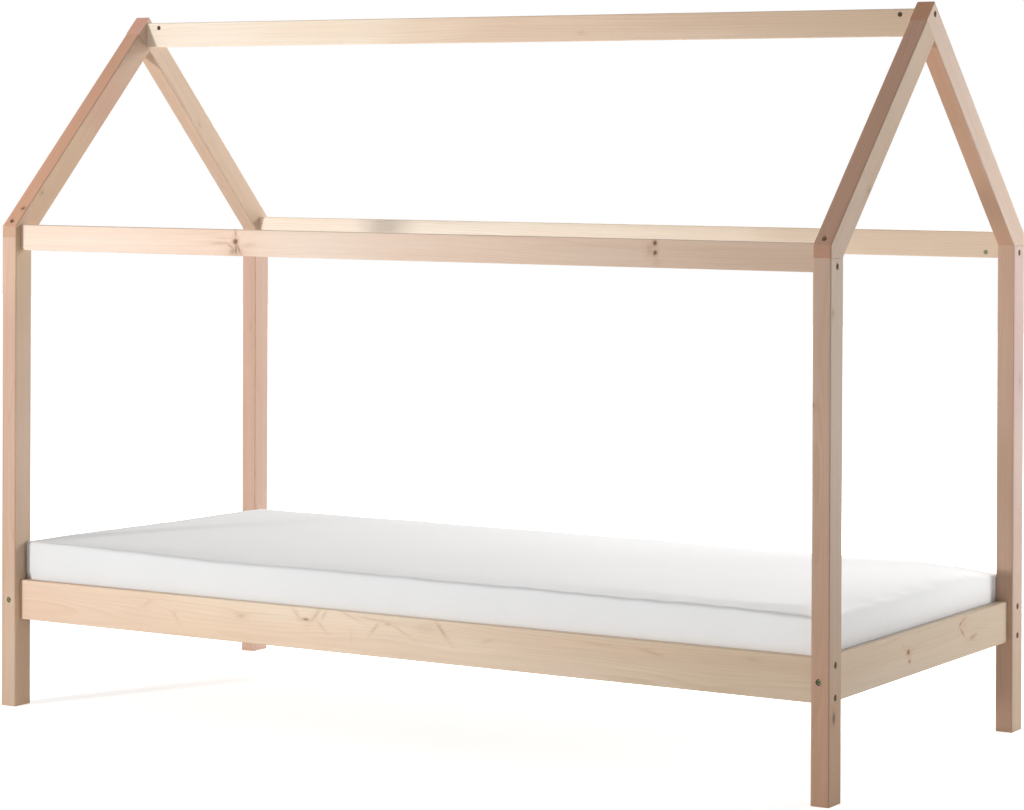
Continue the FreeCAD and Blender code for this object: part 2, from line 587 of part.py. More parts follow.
LOOSE = [mattress]
for name, solids in GROUPS.items():
    g = doc.addObject("Part::Feature", name)
    g.Label = name
    g.Shape = Part.makeCompound(solids)
    LOOSE.append(g)

# ---------------------------------------------------------------- check and write
doc.recompute()
for o in doc.Objects:
    bad = [s for s in o.State if s in ("Invalid", "Error")]
    if bad:
        raise RuntimeError("%s: %s" % (o.Name, bad))
for cut in CUTS:
    if not cut.BaseFeature.Shape.Volume - cut.Shape.Volume > 1.0:
        raise RuntimeError(cut.Name + " removes nothing")
for o in BODIES + LOOSE:
    if o.Shape.isNull() or not o.Shape.isValid():
        raise RuntimeError(o.Label + ": bad shape")
    if o in BODIES and len(o.Shape.Solids) != 1:
        raise RuntimeError(o.Label + ": not one solid")

os.makedirs("parts", exist_ok=True)
box = FreeCAD.BoundBox()
for o in BODIES + LOOSE:
    o.Shape.exportStep("parts/%s.step" % o.Label)
    box.add(o.Shape.BoundBox)
print("pieces:", len(BODIES) + len(LOOSE), "size %.1f x %.1f x %.1f mm"
      % (box.XLength, box.YLength, box.ZLength))
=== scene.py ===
"""House frame bed: pine finishes, mattress, fasteners and studio stage.

All lengths are metres in the frame of the bed: origin on the floor under the
middle of the bed, +X along the long side, -Y towards the open front, +Z up.
"""

import math

import bmesh
import bpy
from bpy.props import FloatProperty, FloatVectorProperty, IntProperty, PointerProperty
from mathutils import Matrix, Vector, noise


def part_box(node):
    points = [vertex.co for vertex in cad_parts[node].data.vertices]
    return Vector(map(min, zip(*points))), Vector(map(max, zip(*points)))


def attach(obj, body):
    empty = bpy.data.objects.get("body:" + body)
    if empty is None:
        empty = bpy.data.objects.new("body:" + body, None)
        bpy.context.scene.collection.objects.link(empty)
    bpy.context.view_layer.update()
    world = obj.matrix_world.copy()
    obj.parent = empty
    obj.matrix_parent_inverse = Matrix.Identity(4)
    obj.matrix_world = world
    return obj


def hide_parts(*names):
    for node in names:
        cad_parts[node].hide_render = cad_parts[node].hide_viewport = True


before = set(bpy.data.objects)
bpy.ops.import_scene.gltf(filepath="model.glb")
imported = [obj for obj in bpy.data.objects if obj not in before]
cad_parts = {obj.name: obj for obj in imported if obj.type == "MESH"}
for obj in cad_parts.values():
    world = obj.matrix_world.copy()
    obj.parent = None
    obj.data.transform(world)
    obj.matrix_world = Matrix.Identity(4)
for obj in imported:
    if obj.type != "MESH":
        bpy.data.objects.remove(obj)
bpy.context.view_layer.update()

bl_info = {
    "name": "House Frame Bed",
    "version": (1, 0, 0),
    "blender": (4, 5, 0),
    "location": "View3D > Sidebar > House Bed",
    "description": "Pine finishes, mattress, fasteners and stage of a house frame bed",
    "category": "Object",
}

MM = 0.001
WHITE = (1.0, 1.0, 1.0, 1.0)

# Timber sizes that the fasteners are set out from
POST_WIDE, POST_DEEP, POST_HIGH = 0.040, 0.056, 1.070
RAIL_THICK, RAIL_LOW, RAIL_HIGH = 0.020, 0.198, 0.288
HALF_LONG, HALF_DEEP = 1.044, 0.492
RAFTER_DEEP, ROOF_PITCH = 0.058, math.radians(45)
FOOT_RISE = RAFTER_DEEP / math.cos(ROOF_PITCH) - POST_DEEP
PEAK = POST_HIGH + FOOT_RISE + HALF_DEEP
SLATS = 13

# Bolts and barrel nuts: their sizes, then where they sit in the timber
BOLT_WIDE, BOLT_HEAD_WIDE, BOLT_HEAD_HIGH = 0.006, 0.010, 0.006
NUT_WIDE, NUT_LONG = 0.010, 0.014
HEAD_SINK, NUT_BACK, NUT_PAST, NUT_SINK = 0.009, 0.035, 0.010, 0.00075
SIDE_BOLT_EDGE, EAVE_BOLT_DROP, RIDGE_BOLT_DROP = 0.013, 0.0165, 0.026
END_RAIL_MID = 0.023

# Wood screws: width of head, height of head, width over the thread, length
PEAK_SCREW = (0.010, 0.004, 0.005, 0.100)
TOE_SCREW = (0.010, 0.004, 0.005, 0.090)
CLEAT_SCREW = (0.008, 0.002, 0.004, 0.038)
SLAT_SCREW = (0.008, 0.002, 0.004, 0.032)
BOLT_SIDES, SCREW_SIDES = 16, 12
# Toe screws in from the bed's outside, and how deep they and the peak screws sink
TOE_IN, TOE_SINK, PEAK_SINK = 0.013, 0.016, 0.010
# Slat and cleat screws out from the bed's middle, and the latter up from the rail
SLAT_SCREW_OUT, CLEAT_SCREW_OUT, CLEAT_SCREW_RISE = 0.440, 0.428, 0.015

# Recesses for keys: sides, width and depth, and the inset ring round them
HEX_KEY = (6, 0.005, 0.003)
NUT_SLOT = (4, 0.0042, 0.0018)
KEY_RIM = 0.0008

# The soft cover: its room past the solid to front and back, its clearance from
# the posts, the most that it rises over the solid, and the cloth's frames
COVER_REACH, COVER_GAP, COVER_CROWN = 0.0034, 0.0006, 0.008
CLOTH_FRAMES = 16
# Swells of its top: height, place along and across, spread along and across
COVER_SWELLS = (
    (0.006, -1.0, -0.45, 0.30, 0.40),
    (-0.003, -0.42, -0.45, 0.22, 0.30),
    (-0.006, 1.0, 0.45, 0.07, 0.10),
)

# The figure of each member.  pith is where the heart of its log lies in the two
# axes across it, tilt turns a sloping member level first, and tint, flank, drift
# and cut are shades: of the member, of its faces to the two ends of the bed, at
# places along it, and of its end grain.  flank and drift are painted light and
# shade: faces and stretches of a member made lighter or darker for light that
# the lamps do not give.  A shade in rows of (place, shade) runs on from one
# place to the next.  A knot is its centre and reach in millimetres, its push on
# the grain in millimetres, its darkness and its lean in degrees; rows marked as
# painted shade among the knots are no knots.

# Posts from the floor up
POSTS = {
    "post_front_right": dict(
        pith=(1.02, -0.53), seed=3.1, tint=(0.64, 0.54, 0.495),
        painted_flank_light=((0.1, (0.76, 0.82, 0.82)), (0.3, (0.79, 0.88, 0.9)), (0.8, (0.9, 1.05, 1.12))),
        painted_light_along=((0.0, (0.99, 0.89, 0.8)), (0.5, (1.0, 1.0, 1.0)), (0.75, (1.04, 1.06, 1.08)),
               (1.0, (1.02, 1.02, 1.03))),
        knots=(
            ((1044, -470, 171), (20, 8, 10), 4, 0.72, 0),
            ((1044, -483, 963), (14, 6, 6), 4, 0.42, 0),
            ((1006, -492, 783), (8, 4, 4), 2, 0.55, 0),
            # Painted shade: a dark line along the seat joint under the rafter's foot, not a knot
            ((1045, -464, 1069.5), (1.6, 4, 34), 0, 0.5, 0))),
    "post_front_left": dict(
        pith=(-1.0, -0.54), seed=7.7, tint=(0.565, 0.507, 0.462),
        painted_flank_light=((0.14, (1.8, 1.88, 1.85)), (0.3, (1.34, 1.5, 1.5)), (0.55, (1.4, 1.56, 1.68)),
               (0.8, (1.24, 1.39, 1.37)), (1.0, (1.05, 1.17, 1.08))),
        painted_light_along=((0.1, (1.03, 1.0, 0.99)), (0.38, (0.95, 0.86, 0.84)), (0.85, (1.0, 0.91, 0.92)),
               (1.0, (1.13, 1.05, 1.07))),
        knots=(((-1024, -492, 660), (12, 4, 4), 3, 0.2, 0),)),
    "post_back_left": dict(
        pith=(-1.05, 0.52), seed=11.3, tint=(0.715, 0.595, 0.56),
        painted_flank_light=(0.92, 0.95, 0.99),
        knots=(
            ((-1000, 436, 449), (7, 4, 4), 2, 0.55, 0),
            ((-1018, 436, 820), (12, 5, 5), 3, 0.15, 0))),
    "post_back_right": dict(
        pith=(1.0, 0.41), seed=16.9, tint=(0.67, 0.553, 0.507),
        painted_flank_light=((0.1, (0.88, 1.01, 1.03)), (0.4, (1.0, 1.08, 1.2)), (0.6, (1.06, 1.2, 1.42)),
               (0.8, (0.97, 1.06, 1.35)), (1.0, (1.04, 1.18, 1.46))),
        painted_light_along=((0.05, (0.86, 0.84, 0.8)), (0.45, (0.92, 0.94, 0.95)), (0.95, (1.05, 1.04, 1.02))),
        knots=(
            ((1044, 472, 770), (24, 6, 9), 4, 0.28, 0),
            # Painted shade: a dark line along the seat joint under the rafter's foot, not a knot
            ((1045, 464, 1069.5), (1.6, 4, 34), 0, 0.5, 0),
            # Painted shadow: a broad soft dark patch halfway up the post's face to the front, not
            # a knot
            ((1020, 436, 570), (120, 30, 30), 6, 0.16, 0))),
}

# Rafters, each turned level before its rings are drawn
RAFTERS = {
    "rafter_front_left": dict(
        tilt=-ROOF_PITCH, seed=21, tint=(0.867, 0.605, 0.5),
        painted_flank_light=((0.7, (0.8, 0.98, 1.01)), (0.86, (0.72, 0.79, 0.84)), (1.0, (0.68, 0.84, 0.91))),
        cut=(0.63, 0.71, 0.72),
        knots=(
            ((-979, -187, 1401), (10, 7, 6), 4, 0.45, 0),
            ((-1016, -452, 1136), (6, 5, 5), 1, 1.0, 0),
            ((-1004, -400, 1170), (8, 5, 6), 2, 0.35, 0))),
    "rafter_front_right": dict(
        tilt=-ROOF_PITCH, seed=27, tint=(0.69, 0.515, 0.458),
        painted_flank_light=((0.5, (0.87, 1.08, 1.16)), (0.75, (0.86, 1.05, 1.07)),
               (0.88, (0.91, 1.12, 1.17)), (1.0, (0.95, 1.2, 1.24))),
        knots=(((1044, -322, 1199), (15, 5, 8), 4, 0.4, 0),)),
    "rafter_back_left": dict(
        tilt=ROOF_PITCH, seed=34, tint=(0.645, 0.56, 0.5),
        painted_flank_light=(1.06, 1.12, 1.15),
        cut=(1.5, 1.17, 1.24),
        knots=(((-1004, 200, 1330), (10, 6, 6), 3, 0.3, 0),)),
    "rafter_back_right": dict(
        tilt=ROOF_PITCH, seed=41, tint=(0.617, 0.475, 0.397),
        painted_flank_light=(1.24, 1.57, 1.91),
        cut=(1.1, 0.98, 0.93),
        knots=(((1044, 280, 1270), (9, 4, 5), 3, 0.25, 0),)),
}

# Rails and ridge along the bed
LONG_RAILS = {
    "eave_rail_front": dict(
        pith=(-0.52, 1.13), seed=51, tint=(0.87, 0.87, 0.885),
        painted_light_along=((-0.95, (1.0, 1.0, 1.0)), (-0.75, (1.04, 1.06, 1.08)),
               (-0.45, (1.07, 1.02, 1.0)), (-0.2, (1.07, 1.08, 1.1)),
               (0.05, (1.03, 0.99, 0.97)), (1.0, (0.88, 0.83, 0.78))),
        knots=(
            ((-399, -474, 1072.5), (8, 5, 8.5), 6, 0.9, 0),
            ((-398, -474, 1056), (16, 5, 6.5), 2, 0.6, 90),
            ((-389, -474, 1056), (20, 4, 3.8), 1, 0.55, -64),
            ((-406, -474, 1052), (12, 5, 14), 3, 0.42, 0),
            ((-396, -474, 1050), (26, 5, 16), 2, 0.3, 0),
            ((-399, -474, 1090), (14, 4, 3.5), 1, 0.4, 90),
            ((-412, -474, 1062), (16, 4, 3), 1, 0.45, -42),
            ((-436, -474, 1069), (36, 4, 4), 2, 0.28, 0),
            ((-430, -474, 1080), (28, 4, 2.5), 1, 0.2, 0),
            ((-366, -474, 1065), (28, 4, 7), 2, 0.2, 0),
            ((644.2, -474, 1091), (5.5, 5, 6.5), 3, 0.92, 0),
            ((644.3, -474, 1071), (5.5, 5, 6.5), 3, 0.92, 0),
            ((632, -474, 1078), (9, 4, 16), 2, 0.25, 0),
            ((648, -474, 1052), (10, 4, 9), 1, 0.14, 0))),
    "eave_rail_back": dict(
        pith=(0.5, 1.01), seed=58, tint=(0.97, 0.985, 0.98),
        painted_light_along=((-0.5, (1.13, 1.22, 1.3)), (-0.1, (1.12, 1.21, 1.26)), (0.32, (1.1, 1.14, 1.16)),
               (0.5, (0.98, 0.98, 0.96)), (0.9, (0.98, 0.95, 0.91)))),
    "ridge_beam": dict(
        pith=(0.045, 1.6), seed=63, tint=(0.945, 0.92, 0.89),
        painted_light_along=((-0.9, (1.13, 1.26, 1.36)), (-0.4, (1.13, 1.22, 1.26)),
               (-0.2, (1.05, 1.06, 1.05)), (0.0, (1.0, 0.97, 0.95)), (0.9, (0.9, 0.88, 0.84))),
        knots=(((200, -10, 1535), (10, 4, 4), 3, 0.18, 0),)),
    "side_rail_front": dict(
        pith=(-0.53, 0.215), seed=71, tint=(0.85, 0.82, 0.765),
        painted_light_along=((-1.0, (0.9, 0.85, 0.85)), (-0.7, (0.97, 0.95, 0.95)),
               (-0.45, (1.05, 1.07, 1.08)), (-0.15, (1.12, 1.16, 1.2)),
               (0.05, (1.1, 1.14, 1.17)), (0.4, (1.04, 1.07, 1.09)), (0.9, (0.94, 0.95, 0.93))),
        knots=(
            ((-209, -474, 262), (13, 5, 4.5), 3, 0.55, 0),
            ((-232, -474, 272), (16, 5, 4.5), 2, 0.22, -50),
            ((-184, -474, 272), (22, 5, 6), 2, 0.28, 48),
            ((-160, -474, 276), (14, 5, 5), 1, 0.22, 60),
            ((-168, -474, 252), (22, 5, 3.5), 1, 0.2, -42),
            ((-100, -474, 281), (40, 4, 3), 1, 0.2, -20),
            ((-30, -474, 277), (60, 4, 3), 1, 0.22, -3),
            ((4, -474, 270), (10, 5, 4), 2, 0.3, 0),
            ((-30, -474, 258), (18, 5, 4), 1, 0.24, 48),
            ((35, -474, 259), (30, 4, 3), 1, 0.2, -24),
            ((-90, -474, 236), (12, 4, 3.5), 0, 0.1, 90),
            ((95, -474, 268), (30, 5, 12), 2, 0.12, 0),
            ((139, -474, 268), (24, 5, 4.5), 3, 0.34, -48),
            ((250, -474, 254), (16, 5, 3.5), 2, 0.16, 20),
            ((-381, -474, 256), (14, 5, 5.5), 4, 0.28, 0),
            ((-640, -474, 262), (16, 5, 4), 3, 0.16, 30),
            ((-560, -474, 240), (16, 5, 4.5), 3, 0.14, -50),
            ((520, -474, 271), (50, 5, 3.5), 2, 0.16, -3),
            ((640, -474, 266), (34, 5, 4), 3, 0.2, -10),
            ((870, -474, 272), (14, 5, 4), 2, 0.16, 0))),
    "side_rail_back": dict(
        pith=(0.53, 0.26), seed=77, tint=(0.85, 0.82, 0.78),
        knots=(
            ((350, 454, 250), (14, 5, 7), 6, 0.4, 0),
            ((-520, 474, 235), (16, 5, 8), 6, 0.4, 0))),
}

# Rails across the bed
END_RAILS = {
    "end_rail_right": dict(
        pith=(1.09, 0.29), seed=83, tint=(0.613, 0.606, 0.56),
        knots=(
            ((1031, 179, 271), (13, 5, 4.5), 3, 0.55, 42),
            ((1031, 196, 278), (18, 5, 4.5), 2, 0.36, 6),
            ((1031, 189, 252), (23, 5, 4.2), 2, 0.46, -42),
            ((1031, 198, 266), (18, 5, 10), 4, 0.2, 0),
            ((1031, 247, 236), (34, 5, 8), 4, 0.36, 8),
            ((1031, -89.5, 247), (9.5, 4, 7.5), 2, 0.85, 0),
            ((1031, -83.8, 228), (7, 4, 5.5), 2, 0.7, 0),
            ((1031, -70, 249), (22, 4, 3), 1, 0.26, 15),
            ((1031, -112, 263), (18, 4, 4), 1, 0.18, -50))),
    "end_rail_left": dict(
        pith=(-1.09, 0.23), seed=89, tint=(0.8, 0.77, 0.72),
        knots=(((-1031, 100, 255), (12, 5, 6), 6, 0.4, 0),)),
}

# Heart of a rafter's log from the rafter's middle, once it is level
RAFTER_PITH = (0.045, -0.030)


# -------------------- settings
def colour_setting(name, description, default):
    return FloatVectorProperty(name=name, description=description, subtype="COLOR",
                               size=3, min=0, max=1, default=default)


def length_setting(name, description, default, low, high):
    return FloatProperty(name=name, description=description, unit="LENGTH",
                         min=low, max=high, default=default)


def share_setting(name, description, default):
    return FloatProperty(name=name, description=description, min=0, max=1, default=default)


def power_setting(name, description, default):
    return FloatProperty(name=name, description=description, unit="POWER", min=0,
                         default=default)


class PineSettings(bpy.types.PropertyGroup):
    """Colours and figure of the untreated pine."""

    early: colour_setting("Earlywood", "Pale wood between the rings", (0.90, 0.74, 0.60))
    late: colour_setting("Latewood", "Darker line of each ring", (0.70, 0.48, 0.32))
    warm: colour_setting("Heartwood", "Warm cast of the slow bands along a board",
                         (0.85, 0.64, 0.49))
    knot: colour_setting("Knot", "Heart of a knot", (0.150, 0.075, 0.045))
    halo: colour_setting("Knot halo", "Stained wood round a knot", (0.46, 0.26, 0.14))
    # Painted shade over the boards' faces to the back, not a colour of the wood
    rear: colour_setting("Painted back shade", "Cast of the boards' faces to the back",
                         (0.74, 0.73, 0.75))
    end: colour_setting("End grain", "Shade of a face that is cut across the grain",
                        (0.80, 0.73, 0.67))
    rings: length_setting("Ring spacing", "Distance between two rings", 0.0042, 0.001, 0.02)
    contrast: share_setting("Ring contrast", "Strength of the latewood lines", 0.36)
    rough: share_setting("Roughness", "Sanded, unfinished wood", 0.62)


class BeddingSettings(bpy.types.PropertyGroup):
    """The mattress in its plain cover."""

    cover: colour_setting("Cover", "Colour of the cotton cover", (0.84, 0.84, 0.84))
    rim: length_setting("Rim", "Radius of the edges of the cover", 0.010, 0.004, 0.05)
    pitch: length_setting("Pitch", "Mesh size away from the edges", 0.022, 0.01, 0.1)
    swell: length_setting("Swell", "Most that the cover may move when puffed up",
                          0.006, 0, 0.03)
    ripple: length_setting("Ripple", "Unevenness of the long edges", 0.0035, 0, 0.01)
    bulge: length_setting("Bulge", "How far the sides swell over the side rails",
                          0.004, 0, 0.01)
    pressure: FloatProperty(
        name="Pressure", description="Pressure inside the cover", min=0, max=20, default=4.0)


class HardwareSettings(bpy.types.PropertyGroup):
    """Bolts, barrel nuts, screws and dowels."""

    zinc: colour_setting("Zinc", "Colour of the dull zinc plating", (0.17, 0.18, 0.105))
    # Painted shade: the ridge nuts are made dark brown for the shade deep in their bores, not a
    # finish of the steel
    shade_darkened: colour_setting("Shade darkened", "Colour of the browned nuts in the ridge",
                            (0.075, 0.050, 0.032))
    rough: share_setting("Roughness", "Dullness of the plating", 0.46)
    segments: IntProperty(
        name="Segments", description="Sides of a round head", min=8, max=64, default=28)


class StageSettings(bpy.types.PropertyGroup):
    """Camera, lamps and floor."""

    place: FloatVectorProperty(
        name="Camera", description="Place of the camera", subtype="XYZ",
        unit="LENGTH", size=3, default=(3.706294, -6.068536, 1.300286))
    aim: FloatVectorProperty(
        name="Aim", description="Yaw, pitch and roll of the camera",
        subtype="EULER", unit="ROTATION", size=3, default=(-0.54603, -0.008013, 0.004089))
    lens: FloatProperty(
        name="Lens", description="Focal length", unit="CAMERA",
        min=10, max=300, default=111.333)
    shift: FloatProperty(
        name="Shift", description="Upright shift of the picture",
        min=-1, max=1, default=-0.2355)
    key: power_setting("Key", "Low lamp at the front left", 96.0)
    side: power_setting("Side", "Lamp behind the right end", 83.0)
    back: power_setting("Back", "High lamp behind the bed", 268.0)
    sky: FloatProperty(
        name="Sky", description="Even light from all round", min=0, default=0.31)
    floor: colour_setting("Floor", "Colour of floor and backdrop", (0.90, 0.90, 0.90))


# -------------------- node help
class Wiring:
    """Short ways to add and join nodes in one node tree."""

    def __init__(self, tree):
        self.tree = tree
        self.step = 0

    def feed(self, socket, value):
        """Link a socket, or write a plain value on it."""
        if isinstance(value, bpy.types.NodeSocket):
            self.tree.links.new(value, socket)
        elif value is not None:
            socket.default_value = value

    def add(self, kind, inputs=None, **fields):
        """Add a node, set its fields and feed its inputs by name or number."""
        node = self.tree.nodes.new(kind)
        node.location = (self.step % 12 * 190, -(self.step // 12) * 260)
        self.step += 1
        for key, value in fields.items():
            setattr(node, key, value)
        for key, value in (inputs or {}).items():
            self.feed(node.inputs[key], value)
        return node

    def place(self):
        return self.add("ShaderNodeTexCoord").outputs["Object"]

    def facing(self, kind="Normal"):
        return self.add("ShaderNodeNewGeometry").outputs[kind]

    def split(self, vector):
        return self.add("ShaderNodeSeparateXYZ", {0: vector}).outputs

    def join(self, x, y, z):
        return self.add("ShaderNodeCombineXYZ", {0: x, 1: y, 2: z}).outputs[0]

    def math(self, operation, a, b=None, c=None):
        return self.add("ShaderNodeMath", {0: a, 1: b, 2: c}, operation=operation).outputs[0]

    def swing(self, value, reach):
        """A noise about its middle, times reach."""
        return self.math("MULTIPLY", self.math("SUBTRACT", value, 0.5), reach)

    def vector(self, operation, a, b=None, scale=None):
        node = self.add("ShaderNodeVectorMath", {0: a, 1: b, 3: scale}, operation=operation)
        return node.outputs["Value" if operation == "LENGTH" else "Vector"]

    def turn(self, vector, axis, angle, centre=None):
        return self.add("ShaderNodeVectorRotate",
                        {"Vector": vector, "Center": centre, "Angle": angle},
                        rotation_type=axis + "_AXIS").outputs[0]

    def noise(self, vector, scale=1.0, detail=2.0, roughness=0.5, output="Fac"):
        return self.add("ShaderNodeTexNoise",
                        {"Vector": vector, "Scale": scale, "Detail": detail,
                         "Roughness": roughness}).outputs[output]

    def drawn(self, vector, stretch, detail=2.0, roughness=0.5):
        """Noise with a scale of its own along each axis."""
        return self.noise(self.vector("MULTIPLY", vector, stretch), 1.0, detail, roughness)

    def bands(self, vector, axis, scale):
        return self.add("ShaderNodeTexWave", {"Vector": vector, "Scale": scale},
                        wave_type="BANDS", bands_direction=axis).outputs["Fac"]

    def span(self, value, low, high, to_low=0.0, to_high=1.0, smooth=True):
        return self.add("ShaderNodeMapRange",
                        {0: value, 1: low, 2: high, 3: to_low, 4: to_high},
                        interpolation_type="SMOOTHSTEP" if smooth else "LINEAR").outputs[0]

    def mix(self, factor, a, b, blend="MIX"):
        return self.add("ShaderNodeMix", {0: factor, 6: a, 7: b},
                        data_type="RGBA", blend_type=blend).outputs[2]

    def backdrop(self):
        """1 where the camera, a reflection or glass sees the surface."""
        path = self.add("ShaderNodeLightPath").outputs
        mirrored = self.math("MAXIMUM", path["Is Glossy Ray"], path["Is Transmission Ray"])
        return self.math("MAXIMUM", path["Is Camera Ray"], mirrored)


def rgba(colour, shade=1.0):
    return tuple(min(1.0, c * shade) for c in colour[:3]) + (1.0,)


def new_group(name, inputs, outputs):
    """A shader node group's tree, its wiring and what comes in at its inputs."""
    tree = bpy.data.node_groups.new(name, "ShaderNodeTree")
    for label, kind, default in inputs:
        socket = tree.interface.new_socket(label, in_out="INPUT",
                                           socket_type="NodeSocket" + kind)
        if default is not None:
            socket.default_value = default
    for label, kind in outputs:
        tree.interface.new_socket(label, in_out="OUTPUT", socket_type="NodeSocket" + kind)
    w = Wiring(tree)
    return tree, w, w.add("NodeGroupInput").outputs


def new_material(name, fixed):
    """A material whose shader has these fixed values on its own sockets."""
    material = bpy.data.materials.new(name)
    material.use_nodes = True
    tree = material.node_tree
    tree.nodes.clear()
    w = Wiring(tree)
    out = w.add("ShaderNodeOutputMaterial")
    shader = w.add("ShaderNodeBsdfPrincipled", fixed)
    w.feed(out.inputs["Surface"], shader.outputs[0])
    return material, w, shader


def bump(w, shader, height, strength, distance):
    node = w.add("ShaderNodeBump",
                 {"Strength": strength, "Distance": distance, "Height": height})
    w.feed(shader.inputs["Normal"], node.outputs[0])


# -------------------- pine
def knot_group():
    """Heart, halo and swollen grain of one knot at Centre, leaning in the face."""
    name = "pine_knot"
    if name in bpy.data.node_groups:
        return bpy.data.node_groups[name]
    tree, w, start = new_group(
        name, [("Place", "Vector", None), ("Centre", "Vector", None),
               ("Reach", "Vector", (0.01, 0.01, 0.01)), ("Lean", "Float", 0.0)],
        [("Heart", "Float"), ("Halo", "Float"), ("Swell", "Float")])
    place, centre, reach, lean = (start[i] for i in range(4))
    rough = w.noise(place, 110.0)
    bend = w.vector("SUBTRACT", w.noise(place, 42.0, output="Color"), (0.5, 0.5, 0.5))
    place = w.vector("ADD", place, w.vector("SCALE", bend, None, 0.006))
    turned = w.turn(place, "Y", lean, centre)
    off = w.vector("DIVIDE", w.vector("SUBTRACT", turned, centre), reach)
    far = w.math("ADD", w.vector("LENGTH", off), w.swing(rough, 0.5))
    heart = w.span(far, 1.25, 0.15)
    halo = w.span(far, 2.6, 0.6)
    swell = w.math("EXPONENT", w.math("MULTIPLY", w.math("MULTIPLY", far, far), -0.32))
    w.add("NodeGroupOutput", {0: heart, 1: halo, 2: swell})
    return tree


def pine_group(pine):
    """Rings about a pith at Place's own x axis, with fibre and slow bands."""
    name = "pine_figure"
    if name in bpy.data.node_groups:
        return bpy.data.node_groups[name]
    tree, w, start = new_group(
        name, [("Place", "Vector", None), ("Seed", "Float", 0.0), ("Swell", "Float", 0.0),
               ("Tint", "Color", WHITE)],
        [("Colour", "Color"), ("Height", "Float")])
    place, seed, swell, tint = (start[i] for i in range(4))
    moved = w.vector("ADD", place, w.join(seed, seed, seed))

    def grain(along, across, detail=2.0, roughness=0.5):
        return w.drawn(moved, (along, across, across), detail, roughness)

    # Rings: the distance from the pith, bent by slow and quick waves and by knots
    parts = w.split(place)
    radius = w.math("ADD", w.vector("LENGTH", w.join(None, parts[1], parts[2])),
                    w.swing(grain(1.1, 7.0), 0.055))
    radius = w.math("ADD", radius, w.swing(grain(6.0, 40.0), 0.0022))
    ring = w.math("DIVIDE", w.math("ADD", radius, swell), pine.rings)
    phase = w.math("FRACT", ring)
    line = w.math("MULTIPLY", w.span(phase, 0.30, 0.86), w.span(phase, 1.0, 0.90))

    # Each year's ring has its own strength, and the rings fade in patches
    year = w.add("ShaderNodeTexWhiteNoise", noise_dimensions="1D")
    w.feed(year.inputs["W"], w.math("ADD", w.math("FLOOR", ring), seed))
    line = w.math("MULTIPLY", line, w.span(year.outputs["Value"], 0.0, 1.0, 0.12, 1.0, False))
    line = w.math("MULTIPLY", line, w.span(grain(1.7, 14.0), 0.30, 0.72, 0.45, 1.0))

    # Colour: warm bands, latewood lines, the member's tint, then fibre and streaks
    fibre = grain(14.0, 900.0, 3.0, 0.6)
    streak = grain(2.2, 110.0)
    warmth = w.math("ADD", w.span(grain(1.3, 9.0, 3.0, 0.55), 0.36, 0.68, 0.0, 0.45),
                    w.span(grain(0.8, 34.0), 0.34, 0.66, 0.0, 0.35))
    wood = w.mix(warmth, rgba(pine.early), rgba(pine.warm))
    wood = w.mix(w.math("MULTIPLY", line, pine.contrast), wood, rgba(pine.late))
    wood = w.mix(1.0, wood, tint, "MULTIPLY")
    shade = w.math("ADD", w.span(fibre, 0.25, 0.75, 0.955, 1.035, False),
                   w.span(streak, 0.25, 0.75, -0.035, 0.03, False))
    wood = w.mix(1.0, wood, w.join(shade, shade, shade), "MULTIPLY")
    height = w.math("ADD", w.math("MULTIPLY", fibre, 0.7), w.math("MULTIPLY", line, -0.25))
    w.add("NodeGroupOutput", {0: wood, 1: height})
    return tree


def graded(w, place, rows):
    """One shade, or the shade along a member from rows of (place, shade)."""
    if not isinstance(rows[0], tuple):
        return rows
    tone = rows[0][1] + (1.0,)
    for (start, _), (stop, shade) in zip(rows, rows[1:]):
        tone = w.mix(w.span(place, start, stop), tone, shade + (1.0,))
    return tone


